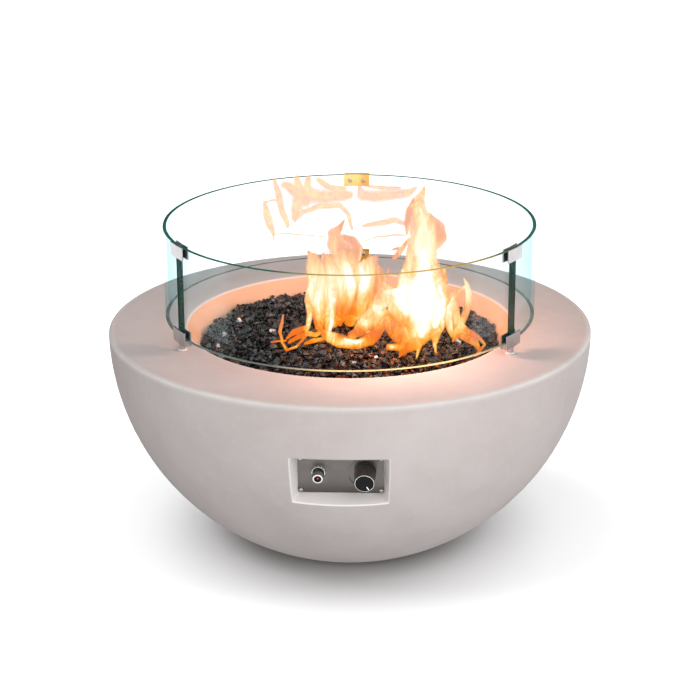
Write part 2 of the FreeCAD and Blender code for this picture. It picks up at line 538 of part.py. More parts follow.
nuts = [
    aim(nut, (0, 0, 254.0), (0, 0, 1)),
    aim(nut, back(out_end, N_DIR, -8.0), N_DIR),
    aim(nut, back(in_end, V_DIR, -8.0), V_DIR),
    aim(nut, (0, 372.0, INLET_Z), (0, 1, 0)),
]
keep("flare_nuts", *nuts)

hose_start = back(out_end, N_DIR, -0.1)
hose, = run_of_pipe([hose_start, back(out_end, N_DIR, -62.0), (34, -215, 285), (8, -92, 196), (0, 0, 176), (0, 0, 261.9)], [6.0], "burner_hose")
keep("burner_hose", hose)
pipe_end = back(in_end, V_DIR, -0.1)
outer, inner = run_of_pipe([(0, 379.9, INLET_Z), (0, 326, INLET_Z), (24, 292, 118), (112, 200, PIPE_Z), (CLIP_X, 90, PIPE_Z), (CLIP_X, -80, PIPE_Z),
                            (112, -190, PIPE_Z), back(in_end, V_DIR, -106.0), pipe_end], [6.0, 4.8], "supply_pipe")
pipe = outer.cut(inner)
keep("supply_pipe", pipe if pipe.isValid() and len(pipe.Solids) == 1 else outer)

cz = in_base_z
clip_out = box(-8.2, 8.2, -6, 6, cz, PIPE_Z).fuse(Part.makeCylinder(8.2, 12, V(0, -6, PIPE_Z), V(0, 1, 0))).fuse(box(-18, 18, -6, 6, cz + 0.05, cz + 1.6))
clip_in = box(-6.2, 6.2, -7, 7, cz - 1, PIPE_Z).fuse(Part.makeCylinder(6.2, 14, V(0, -7, PIPE_Z), V(0, 1, 0)))
clip = clip_out.cut([clip_in, cyl(1.75, cz - 2, cz + 4, -13, 0), cyl(1.75, cz - 2, cz + 4, 13, 0), box(-30, 30, -8, 8, cz - 2, cz + 0.05)])
clip.translate(V(CLIP_X, CLIP_Y, 0))
keep("pipe_clip", clip)
clip_screws = []
for dx in (-13.0, 13.0):
    s = spin([(0, cz + 1.65), (3.2, cz + 1.65), (2.8, cz + 3.2), (0, cz + 3.6)]).fuse(cyl(1.6, cz - 10, cz + 1.7))
    s.translate(V(CLIP_X + dx, CLIP_Y, 0))
    clip_screws.append(s)
keep("clip_screws", *clip_screws)

# rear inlet: plate, bulkhead fitting, locknut
seat = INLET_Y + 0.05


def on_inlet(shape):
    """Local x across, local y up, local z out of the rear wall."""
    s = shape.copy()
    s.Placement = FreeCAD.Placement(FreeCAD.Matrix(-1, 0, 0, 0, 0, 0, 1, seat, 0, 1, 0, INLET_Z, 0, 0, 0, 1)).multiply(s.Placement)
    return s


INLET_SCREWS_LOCAL = [(-dx, dz) for dx, dz in INLET_SCREWS]
ip = spin([(9.8, 0), (30, 0), (30, 1.4), (29.4, 2.0), (9.8, 2.0)]).cut([cyl(2.1, -1, 3, dx, dz) for dx, dz in INLET_SCREWS_LOCAL])
keep("inlet_plate", on_inlet(ip))
isc = []
for dx, dz in INLET_SCREWS_LOCAL:
    s = spin([(0, 2.05), (3.6, 2.05), (3.3, 3.5), (0, 4.2)]).cut(box(-2, 2, -0.4, 0.4, 3.2, 5)).fuse(cyl(1.9, -12.0, 2.1))
    s.translate(V(dx, dz, 0))
    isc.append(on_inlet(s))
keep("inlet_plate_screws", *isc)
fit = spin([(0, -40.0), (7.0, -40.0), (7.0, -28.0), (9.5, -28.0), (9.5, 2.2), (7.2, 2.2), (7.2, 12.0), (INLET_THREAD_R, 12.0), (INLET_THREAD_R, 26.0), (5.4, 28.5), (0, 28.5)])
fit = fit.fuse(hexagon(24.0, 2.1, 12.0)).cut(cyl(4.5, -50, 40))
keep("inlet_fitting", on_inlet(fit))
keep("inlet_locknut", on_inlet(hexagon(28.0, -24.2, -16.1).cut(cyl(9.55, -30, 0))))

# ignition lead and thermocouple lead, held between their ends inside the bowl
lead, = run_of_pipe([panel_point(IGN_U, IGN_V, -84.1), panel_point(IGN_U, IGN_V, -124.0), (-38, -252, 330), (-20, -190, 316), (-8.5, PILOT_Y, 300), (-8.5, PILOT_Y, 344.9)], [1.6], "ignition_lead")
keep("ignition_lead", lead)
tc_start = panel_point(KNOB_U - 27.6, KNOB_V, -34.0)
tc, = run_of_pipe([tc_start, (4.0, tc_start[1], tc_start[2]), (1.0, tc_start[1] + 30, tc_start[2] + 4), (4, -300, 322), (7, -215, 316), (8.5, PILOT_Y, 300), (8.5, PILOT_Y, 349.9)], [1.3], "thermocouple_lead")
keep("thermocouple_lead", tc)

# ---------------------------------------------------------------- glass wind guard
g0, g1 = RIM_Z + GLASS_LOW, RIM_Z + GLASS_LOW + GLASS_H
gi = GUARD_R - GLASS_T
half_gap = math.degrees(math.asin(GLASS_GAP / 2 / (GUARD_R - GLASS_T / 2)))
c = 0.9
panel = [(gi, g0 + c), (gi + c, g0), (GUARD_R - c, g0), (GUARD_R, g0 + c), (GUARD_R, g1 - c), (GUARD_R - c, g1), (gi + c, g1), (gi, g1 - c)]
for name, start in (("glass_panel_left", 90.0), ("glass_panel_front", 210.0), ("glass_panel_right", 330.0)):
    f = profile(panel)
    s = f.revolve(V(0, 0, 0), V(0, 0, 1), 120.0 - 2 * half_gap)
    keep(name, turned(s, start + half_gap))

# clamp plates are folded to a shallow V so that each wing lies along its glass panel
wing = math.degrees(18.6 / GUARD_R)
phi = math.radians(wing)


def fold(dist, thick, half, z0, z1, edge=0.7):
    """V-folded plate with its near face at dist from the axis, radial direction +X, bevelled all round."""
    def section(t, inset):
        k = abs(t) * math.sin(phi)
        x0, x1 = (dist + inset - k) / math.cos(phi), (dist + thick - inset - k) / math.cos(phi)
        a0, a1, e = z0 + inset, z1 - inset, edge
        pts = [(x0 + e, a0), (x1 - e, a0), (x1, a0 + e), (x1, a1 - e), (x1 - e, a1), (x0 + e, a1), (x0, a1 - e), (x0, a0 + e)]
        pts = [V(x, t, z) for x, z in pts]
        return Part.makePolygon(pts + [pts[0]])
    wings = [Part.makeLoft([section(0.0, 0.0), section(sgn * (half - edge), 0.0), section(sgn * half, 0.6 * edge)], True, True) for sgn in (1.0, -1.0)]
    return wings[0].fuse(wings[1]).removeSplitter()


def wing_strip(dist, thick, t0, t1, z0, z1):
    def face(d, t):
        return (d - abs(t) * math.sin(phi)) / math.cos(phi)
    pts = [V(face(dist, t0), t0, z0), V(face(dist, t1), t1, z0), V(face(dist + thick, t1), t1, z0), V(face(dist + thick, t0), t0, z0)]
    return Part.Face(Part.makePolygon(pts + [pts[0]])).extrude(V(0, 0, z1 - z0))


def clamp(z0, z1, web_low=None):
    outer_plate = fold(GUARD_R + CLAMP_GAP, CLAMP_T, CLAMP_HALF, z0, z1)
    inner_plate = fold(gi - CLAMP_GAP - CLAMP_T, CLAMP_T, CLAMP_HALF, z0, z1)
    block = box(gi - CLAMP_GAP - 1.5, GUARD_R + CLAMP_GAP + 1.5, -5.6, 5.6, z0 + 0.6, z1 - 0.6)
    s = outer_plate.fuse([inner_plate, block])
    if web_low is not None:
        s = s.fuse(box(gi - CLAMP_GAP - 1.5, GUARD_R + CLAMP_GAP + 1.0, -CLAMP_HALF + 2.0, CLAMP_HALF - 2.0, z0 + 0.6, web_low))
    return s


TOP0, TOP1 = g1 + 2.0 - CLAMP_H, g1 + 2.0
LOW0, LOW1 = RIM_Z + 16.0, RIM_Z + 46.0
WEB_TOP = g0 - 0.6
top = clamp(TOP0, TOP1).cut([cyl(2.2, TOP1 - 12, TOP1 + 1, GUARD_R - GLASS_T / 2, 0)])
low = clamp(LOW0, LOW1, WEB_TOP).cut([cyl(3.05, LOW0 - 1, LOW0 + 8, GUARD_R - GLASS_T / 2, 0)])

screws_low, screws_top, gaskets_low, gaskets_top = [], [], [], []
plate_in = gi - CLAMP_GAP - CLAMP_T
for z0, z1, bucket, gbucket in ((TOP0, TOP1, screws_top, gaskets_top), (LOW0, LOW1, screws_low, gaskets_low)):
    zc = (max(z0, g0) + z1) / 2 if z0 < g0 else (z0 + z1) / 2 - 0.5
    for side in (-1, 1):
        n = (math.cos(phi), side * math.sin(phi), 0.0)
        face_x = (plate_in - abs(CLAMP_SCREW_T) * math.sin(phi)) / math.cos(phi)
        o = (face_x, side * CLAMP_SCREW_T, zc)
        head = spin([(0, -3.0), (3.6, -3.0), ("arc", (4.85, -2.1), (5.3, -0.6)), (5.3, -0.05), (0, -0.05)]).cut(hexagon(3.2, -3.5, -1.2))
        head = head.fuse(cyl(2.5, -0.1, CLAMP_T - 0.05))
        bucket.append(aim(head, o, n))
        hole = aim(cyl(2.55, -1.5, CLAMP_T + 0.6), o, n)
        if bucket is screws_top:
            top = top.cut(hole)
        else:
            low = low.cut(hole)
        ga0 = z0 + 1.0 if z0 > g0 else g0 + 0.5
        ga1 = min(z1 - 1.0, g1 - 1.2)
        t0, t1 = 8.4, CLAMP_HALF - 1.0
        if side < 0:
            t0, t1 = -t1, -t0
        gbucket.append(wing_strip(GUARD_R + 0.3, 0.68, t0, t1, ga0, ga1))
        gbucket.append(wing_strip(gi - CLAMP_GAP + 0.02, 0.68, t0, t1, ga0, ga1))

post_r = GUARD_R - GLASS_T / 2
post = spin([(0, RIM_Z + 4.15), (6.2, RIM_Z + 4.15), (6.6, RIM_Z + 4.6), (6.6, LOW0 - 0.5), (6.2, LOW0 - 0.05), (3.0, LOW0 - 0.05), (3.0, LOW0 + 7.0), (0, LOW0 + 7.0)])
post.translate(V(post_r, 0, 0))
pad = spin([(0, RIM_Z + 0.1), (9.3, RIM_Z + 0.1), (9.9, RIM_Z + 0.7), (9.9, RIM_Z + 2.4), ("arc", (9.4, RIM_Z + 3.6), (8.2, RIM_Z + 4.1)), (0, RIM_Z + 4.1)])
pad.translate(V(post_r, 0, 0))

keep("top_clamps", *[turned(top, a) for a in GUARD_ANGLES])
keep("bottom_clamps", *[turned(low, a) for a in GUARD_ANGLES])
keep("clamp_gaskets", *[turned(s, a) for a in GUARD_ANGLES for s in gaskets_top + gaskets_low])
keep("clamp_screws", *[turned(s, a) for a in GUARD_ANGLES for s in screws_top + screws_low])
keep("foot_posts", *[turned(post, a) for a in GUARD_ANGLES])
keep("foot_pads", *[turned(pad, a) for a in GUARD_ANGLES])

# ---------------------------------------------------------------- write one file per node
for name, shape in NODES.items():
    if not shape.isValid():
        print("INVALID", name)
    if len(shape.Solids) == 0:
        print("NO SOLID", name)
    shape.exportStep("parts/%s.step" % name)
    bb = shape.BoundBox
    print("%-22s solids %2d  vol %12.1f  x %8.1f..%8.1f  y %8.1f..%8.1f  z %7.1f..%7.1f" % (
        name, len(shape.Solids), shape.Volume, bb.XMin, bb.XMax, bb.YMin, bb.YMax, bb.ZMin, bb.ZMax))
print(len(NODES), "nodes")
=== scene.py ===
import bpy
import bmesh
import json
import math
import random
import numpy as np
from mathutils import Matrix, Vector, noise


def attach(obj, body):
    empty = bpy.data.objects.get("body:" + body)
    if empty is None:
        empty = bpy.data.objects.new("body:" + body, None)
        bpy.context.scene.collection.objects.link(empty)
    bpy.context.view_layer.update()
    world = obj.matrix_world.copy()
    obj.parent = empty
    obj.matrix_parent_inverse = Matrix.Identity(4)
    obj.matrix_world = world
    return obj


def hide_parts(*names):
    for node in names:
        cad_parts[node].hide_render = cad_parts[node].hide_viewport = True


# Floor-standing concrete fire bowl: metres, +Z up, floor at z = 0, control recess facing -Y.
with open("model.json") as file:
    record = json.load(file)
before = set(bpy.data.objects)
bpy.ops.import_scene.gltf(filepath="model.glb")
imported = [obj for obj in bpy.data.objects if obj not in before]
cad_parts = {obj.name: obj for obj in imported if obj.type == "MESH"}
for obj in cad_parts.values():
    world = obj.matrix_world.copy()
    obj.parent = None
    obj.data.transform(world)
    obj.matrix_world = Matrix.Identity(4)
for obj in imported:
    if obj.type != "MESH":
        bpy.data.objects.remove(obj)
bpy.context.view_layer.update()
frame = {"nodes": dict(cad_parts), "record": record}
NODES = frame["nodes"]
scene = bpy.context.scene

# ------------------------------------------------------------------ driving numbers
RIM_Z = 0.476
LIP_R = 0.3545
BASIN_SLOPE = 0.7071
BED_EDGE_Z = 0.4375
BED_TOP_Z = 0.468
BED_EDGE_R = LIP_R - (RIM_Z - BED_EDGE_Z) * BASIN_SLOPE - 0.0006
TILT = math.radians(12.0)
PLATE_ORIGIN = Vector((0.0, -0.4365, 0.264))
KNOB_UV = (0.049, 0.048)

CAM_AT = Vector((0.1785, -4.0884, 1.854))
CAM_PITCH, CAM_TURN, CAM_ROLL = math.radians(70.56), math.radians(2.5), math.radians(-0.24)
LENS, SENSOR = 101.4, 36.0

# ------------------------------------------------------------------ camera
cam_data = bpy.data.cameras.new("cam")
cam_data.lens = LENS
cam_data.sensor_width = SENSOR
cam_data.clip_end = 200.0
cam = bpy.data.objects.new("cam", cam_data)
CAM_MATRIX = (Matrix.Translation(CAM_AT) @ Matrix.Rotation(CAM_TURN, 4, "Z")
              @ Matrix.Rotation(CAM_PITCH, 4, "X") @ Matrix.Rotation(CAM_ROLL, 4, "Z"))
cam.matrix_world = CAM_MATRIX
scene.collection.objects.link(cam)
scene.camera = cam
FOCAL = 700.0 * LENS / SENSOR


def sight(px, py):
    """World direction through a point of the 700 x 700 frame."""
    d = Vector(((px - 350.0) / FOCAL, (350.0 - py) / FOCAL, -1.0))
    return (CAM_MATRIX.to_3x3() @ d).normalized()


def on_plate(px, py, lift=0.0001):
    """Point of the control plate seen at a point of the frame, in its own across and up lengths."""
    d = sight(px, py)
    n = Vector((0.0, -math.cos(TILT), -math.sin(TILT)))
    up = Vector((0.0, -math.sin(TILT), math.cos(TILT)))
    at = PLATE_ORIGIN + n * lift
    q = CAM_AT + d * ((at - CAM_AT).dot(n) / d.dot(n)) - at
    return q.x, q.dot(up)


def on_plane_y(px, py, y):
    d = sight(px, py)
    return CAM_AT + d * ((y - CAM_AT.y) / d.y)


# ------------------------------------------------------------------ material graphs
class Graph:
    def __init__(self, name):
        self.mat = bpy.data.materials.new(name)
        self.mat.use_nodes = True
        self.tree = self.mat.node_tree
        self.tree.nodes.clear()
        self.out = self.add("OutputMaterial")
        self.coord = self.add("TexCoord").outputs["Object"]

    def add(self, kind, **settings):
        n = self.tree.nodes.new("ShaderNode" + kind)
        for k, v in settings.items():
            setattr(n, k, v)
        return n

    def put(self, socket, value):
        if isinstance(value, bpy.types.NodeSocket):
            self.tree.links.new(value, socket)
        elif isinstance(value, (tuple, list)) and len(value) == 3 and socket.type == "RGBA":
            socket.default_value = (*value, 1.0)
        else:
            socket.default_value = value

    def mapped(self, scale=(1, 1, 1), rot=(0, 0, 0), loc=(0, 0, 0), vector=None):
        n = self.add("Mapping")
        self.put(n.inputs["Vector"], self.coord if vector is None else vector)
        n.inputs["Scale"].default_value = scale
        n.inputs["Rotation"].default_value = rot
        n.inputs["Location"].default_value = loc
        return n.outputs[0]

    def noise(self, scale, detail=4.0, rough=0.55, vector=None, warp=0.0):
        n = self.add("TexNoise")
        self.put(n.inputs["Vector"], self.coord if vector is None else vector)
        n.inputs["Scale"].default_value = scale
        n.inputs["Detail"].default_value = detail
        n.inputs["Roughness"].default_value = rough
        n.inputs["Distortion"].default_value = warp
        return n.outputs["Fac"]

    def cells(self, scale, out="Distance", vector=None, feature="F1"):
        n = self.add("TexVoronoi", feature=feature)
        self.put(n.inputs["Vector"], self.coord if vector is None else vector)
        n.inputs["Scale"].default_value = scale
        return n.outputs[out]

    def math(self, op, a, b=0.0, c=0.0, clamp=False):
        n = self.add("Math", operation=op, use_clamp=clamp)
        self.put(n.inputs[0], a)
        self.put(n.inputs[1], b)
        self.put(n.inputs[2], c)
        return n.outputs[0]

    def remap(self, v, a, b, c=0.0, d=1.0, smooth=False):
        n = self.add("MapRange", clamp=True)
        if smooth:
            n.interpolation_type = "SMOOTHSTEP"
        self.put(n.inputs["Value"], v)
        for key, val in (("From Min", a), ("From Max", b), ("To Min", c), ("To Max", d)):
            n.inputs[key].default_value = val
        return n.outputs["Result"]

    def mix(self, fac, a, b, mode="MIX"):
        n = self.add("Mix", data_type="RGBA", blend_type=mode)
        self.put(n.inputs[0], fac)
        self.put(n.inputs[6], a)
        self.put(n.inputs[7], b)
        return n.outputs[2]

    def ramp(self, fac, stops):
        n = self.add("ValToRGB")
        cr = n.color_ramp
        cr.elements.remove(cr.elements[1])
        cr.elements[0].position = stops[0][0]
        cr.elements[0].color = (*stops[0][1], 1.0)
        for p, c in stops[1:]:
            cr.elements.new(p).color = (*c, 1.0)
        self.put(n.inputs["Fac"], fac)
        return n.outputs["Color"]

    def attr(self, name, out="Fac"):
        n = self.add("Attribute", attribute_name=name)
        return n.outputs[out]

    def split(self, vector=None):
        n = self.add("SeparateXYZ")
        self.put(n.inputs[0], self.coord if vector is None else vector)
        return n.outputs["X"], n.outputs["Y"], n.outputs["Z"]

    def radius(self, cx=0.0, cy=0.0):
        x, y, _ = self.split()
        dx, dy = self.math("SUBTRACT", x, cx), self.math("SUBTRACT", y, cy)
        return self.math("SQRT", self.math("ADD", self.math("MULTIPLY", dx, dx), self.math("MULTIPLY", dy, dy)))

    def bump(self, height, strength, distance, normal=None):
        n = self.add("Bump")
        n.inputs["Strength"].default_value = strength
        n.inputs["Distance"].default_value = distance
        self.put(n.inputs["Height"], height)
        if normal is not None:
            self.put(n.inputs["Normal"], normal)
        return n.outputs["Normal"]

    def principled(self, color, rough, metal=0.0, normal=None, **more):
        n = self.add("BsdfPrincipled")
        self.put(n.inputs["Base Color"], color)
        self.put(n.inputs["Roughness"], rough)
        self.put(n.inputs["Metallic"], metal)
        if normal is not None:
            self.put(n.inputs["Normal"], normal)
        for k, v in more.items():
            self.put(n.inputs[k.replace("_", " ")], v)
        return n.outputs[0]

    def finish(self, shader):
        self.put(self.out.inputs["Surface"], shader)
        return self.mat


def shade(c, k):
    return tuple(min(1.0, max(0.0, v * k)) for v in c)


def metal(name, color, rough=0.3, brush=None, grain=900.0, spread=0.12, patina=0.18, patina_scale=22.0, tint=None, bump=0.12):
    """Bare metal: brushed along one axis or tumbled, with cloudy wear and fine scratches."""
    g = Graph(name)
    cloud = g.noise(patina_scale, 5.0, 0.6)
    fine = g.noise(patina_scale * 6.0, 3.0, 0.5)
    if brush is None:
        lines = g.noise(grain, 2.0, 0.6)
    else:
        scale = {"x": (4.0, grain, grain), "y": (grain, 4.0, grain), "z": (grain, grain, 4.0)}[brush]
        lines = g.noise(1.0, 3.0, 0.65, g.mapped(scale))
    scratch = g.remap(g.noise(1.0, 2.0, 0.5, g.mapped((70.0, 900.0, 500.0), (0.5, 0.3, 0.8))), 0.66, 0.74)
    dark = tint if tint is not None else shade(color, 0.72)
    base = g.mix(g.remap(cloud, 0.35, 0.7, 0.0, patina * 3.0), color, dark)
    base = g.mix(g.remap(lines, 0.3, 0.7, 0.0, 0.35), base, shade(color, 0.82))
    base = g.mix(g.math("MULTIPLY", scratch, 0.35), base, shade(color, 1.25))
    r = g.math("ADD", g.remap(lines, 0.25, 0.75, rough - spread * 0.5, rough + spread), g.remap(fine, 0.4, 0.75, 0.0, spread * 0.5), clamp=True)
    n = g.bump(lines, bump, 0.0002)
    n = g.bump(cloud, bump * 0.4, 0.0006, n)
    return g.finish(g.principled(base, r, 1.0, n))


def coated(name, color, rough=0.45, grain=500.0, vary=0.15, bump=0.12, metal_part=0.0, dust=0.08, coat=0.0, spec=0.5):
    """Painted, moulded or rubber skin: fine orange peel or grain, soft colour drift and a little dust."""
    g = Graph(name)
    drift = g.noise(26.0, 4.0, 0.6)
    fine = g.noise(grain, 3.0, 0.6)
    base = g.mix(g.remap(drift, 0.3, 0.7, 0.0, 1.0), shade(color, 1.0 - vary), shade(color, 1.0 + vary))
    base = g.mix(g.remap(fine, 0.55, 0.8, 0.0, dust), base, (0.45, 0.43, 0.4))
    r = g.math("ADD", g.remap(fine, 0.3, 0.7, rough - 0.06, rough + 0.08), g.remap(drift, 0.4, 0.7, 0.0, 0.06), clamp=True)
    n = g.bump(fine, bump, 0.00025)
    n = g.bump(drift, bump * 0.5, 0.001, n)
    return g.finish(g.principled(base, r, metal_part, n, Coat_Weight=coat, Specular_IOR_Level=spec))


def concrete():
    """Smooth cast concrete: cloudy cement tone, trowel haze, pin holes, paler edges along the rim and basin lip (wear
    with a painted highlight), painted orange firelight on the basin wall, painted light in the control recess and a
    darker band near the floor.
    """
    g = Graph("cast_concrete")
    big = g.noise(2.6, 5.0, 0.55, warp=0.4)
    mid = g.noise(11.0, 5.0, 0.6)
    small = g.noise(70.0, 4.0, 0.65)
    sand = g.noise(900.0, 2.0, 0.6)
    base = g.mix(g.remap(big, 0.32, 0.68), (0.505, 0.458, 0.446), (0.58, 0.534, 0.522))
    base = g.mix(g.remap(mid, 0.42, 0.72, 0.0, 0.5), base, (0.48, 0.434, 0.42))
    base = g.mix(g.remap(small, 0.5, 0.8, 0.0, 0.35), base, (0.625, 0.58, 0.566))
    base = g.mix(g.remap(sand, 0.58, 0.75, 0.0, 0.22), base, (0.39, 0.365, 0.345))
    spots = g.cells(150.0)
    gate = g.remap(g.noise(38.0, 2.0, 0.5), 0.58, 0.7)
    holes = g.math("MULTIPLY", g.remap(spots, 0.05, 0.14, 1.0, 0.0), gate)
    base = g.mix(g.math("MULTIPLY", holes, 0.55), base, (0.30, 0.275, 0.26))
    rad = g.radius()
    _, _, z = g.split()
    # paler edge band along the rim's outer edge and the basin lip: partly wear, partly a painted highlight of the light
    # on the rounded corners
    edge = g.math("MULTIPLY", g.remap(rad, 0.512, 0.5245), g.remap(z, 0.462, 0.474))
    lip = g.math("MULTIPLY", g.remap(g.math("ABSOLUTE", g.math("SUBTRACT", rad, 0.3545)), 0.0, 0.004, 1.0, 0.0), g.remap(z, 0.468, 0.474))
    wear_and_edge_highlight = g.math("MULTIPLY", g.math("MAXIMUM", edge, lip), g.remap(mid, 0.3, 0.6, 0.25, 0.8))
    base = g.mix(wear_and_edge_highlight, base, (0.72, 0.695, 0.67))
    # painted firelight: the basin wall below the lip painted warm orange for the glow of the flames, its pin holes
    # darker
    basin = g.math("MULTIPLY", g.remap(rad, 0.3553, 0.3520), g.remap(z, 0.395, 0.41))
    painted_firelight = g.mix(g.remap(mid, 0.3, 0.7), (0.58, 0.375, 0.262), (0.52, 0.325, 0.222))
    painted_firelight = g.mix(g.math("MULTIPLY", holes, 0.5), painted_firelight, (0.28, 0.20, 0.15))
    base = g.mix(basin, base, painted_firelight)
    # painted light: the concrete walls and sill of the control recess painted paler for the light falling into them
    sx, sy, sz = g.split()
    dy, dz = g.math("SUBTRACT", PLATE_ORIGIN.y, sy), g.math("SUBTRACT", sz, PLATE_ORIGIN.z)
    out_w = g.math("ADD", g.math("MULTIPLY", dy, math.cos(TILT)), g.math("MULTIPLY", dz, -math.sin(TILT)))
    up_v = g.math("ADD", g.math("MULTIPLY", dy, math.sin(TILT)), g.math("MULTIPLY", dz, math.cos(TILT)))
    side = g.remap(g.math("SUBTRACT", g.math("ABSOLUTE", sx), g.math("MULTIPLY", out_w, 0.245)), 0.0896, 0.0912, 1.0, 0.0)
    under = g.remap(g.math("ADD", up_v, g.math("MULTIPLY", out_w, 0.10)), -0.0100, -0.0084)
    over = g.remap(g.math("SUBTRACT", up_v, g.math("MULTIPLY", out_w, 0.40)), 0.0880, 0.0895, 1.0, 0.0)
    recess = g.math("MULTIPLY", g.math("MULTIPLY", side, under), over)
    base = g.mix(g.math("MULTIPLY", recess, 0.85), base, (0.85, 0.815, 0.80))
    # darker towards the floor over the lowest few centimetres of the bowl, broken up by noise
    darker_low_band = g.math("MULTIPLY", g.remap(z, 0.006, 0.05, 1.0, 0.0), g.remap(mid, 0.35, 0.65, 0.1, 0.5))
    base = g.mix(darker_low_band, base, (0.47, 0.445, 0.42))
    rough = g.math("ADD", g.remap(small, 0.3, 0.7, 0.76, 0.88), g.remap(big, 0.3, 0.7, -0.04, 0.06), clamp=True)
    n = g.bump(sand, 0.10, 0.0004)
    n = g.bump(small, 0.16, 0.0016, n)
    n = g.bump(mid, 0.10, 0.006, n)
    n = g.bump(g.math("MULTIPLY", holes, -1.0), 0.5, 0.0012, n)
    return g.finish(g.principled(base, rough, 0.0, n, Specular_IOR_Level=0.12))


def pane_face():
    """Clear tempered glass: almost nothing but its reflection and a cool breath of tint."""
    g = Graph("pane_face")
    cloud = g.noise(7.0, 3.0, 0.5)
    smear = g.noise(1.0, 4.0, 0.6, g.mapped((3.0, 3.0, 40.0)))
    facing = g.add("LayerWeight")
    facing.inputs["Blend"].default_value = 0.5
    tint = g.mix(g.remap(cloud, 0.35, 0.65), (0.972, 0.990, 0.993), (0.980, 0.994, 0.996))
    tint = g.mix(g.remap(facing.outputs["Facing"], 0.14, 0.92), tint, (0.80, 0.905, 0.925))
    clear = g.add("BsdfTransparent")
    g.put(clear.inputs[0], tint)
    gloss = g.add("BsdfGlossy")
    g.put(gloss.inputs["Color"], (0.95, 1.0, 1.0))
    g.put(gloss.inputs["Roughness"], g.remap(smear, 0.45, 0.75, 0.015, 0.06))
    fres = g.add("Fresnel")
    fres.inputs["IOR"].default_value = 1.38
    g.put(fres.inputs["Normal"], g.bump(cloud, 0.03, 0.002))
    mixer = g.add("MixShader")
    g.put(mixer.inputs[0], g.math("MULTIPLY", fres.outputs[0], 0.05, clamp=True))
    g.put(mixer.inputs[1], clear.outputs[0])
    g.put(mixer.inputs[2], gloss.outputs[0])
    return g.finish(mixer.outputs[0])


def pane_edge(name, low, high, glow, firelight_tint):
    """Polished glass edge: deep green body with brighter runs along it and a painted green glow (emission), plus
    painted gold firelight on the edges near the fire.
    """
    g = Graph(name)
    run = g.noise(1.0, 4.0, 0.6, g.mapped((22.0, 22.0, 9.0)))
    fine = g.noise(420.0, 2.0, 0.6)
    color = g.mix(g.remap(run, 0.35, 0.65), low, high)
    x, y, _ = g.split()
    # painted firelight: edges near the fire painted gold and given a warmer glow
    lit = g.math("MULTIPLY", g.math("MULTIPLY", g.remap(x, -0.14, 0.0), g.remap(x, 0.38, 0.27)), g.remap(y, -0.2, -0.34))
    lit = g.math("MULTIPLY", lit, g.remap(run, 0.25, 0.6, 0.55, 1.0))
    color = g.mix(lit, color, firelight_tint)
    glow = g.mix(lit, glow, shade(firelight_tint, 1.3))
    n = g.bump(fine, 0.08, 0.0002)
    body = g.principled(color, g.remap(fine, 0.3, 0.7, 0.08, 0.2), 0.0, n, IOR=1.5, Emission_Color=glow, Emission_Strength=0.25)
    return g.finish(body)


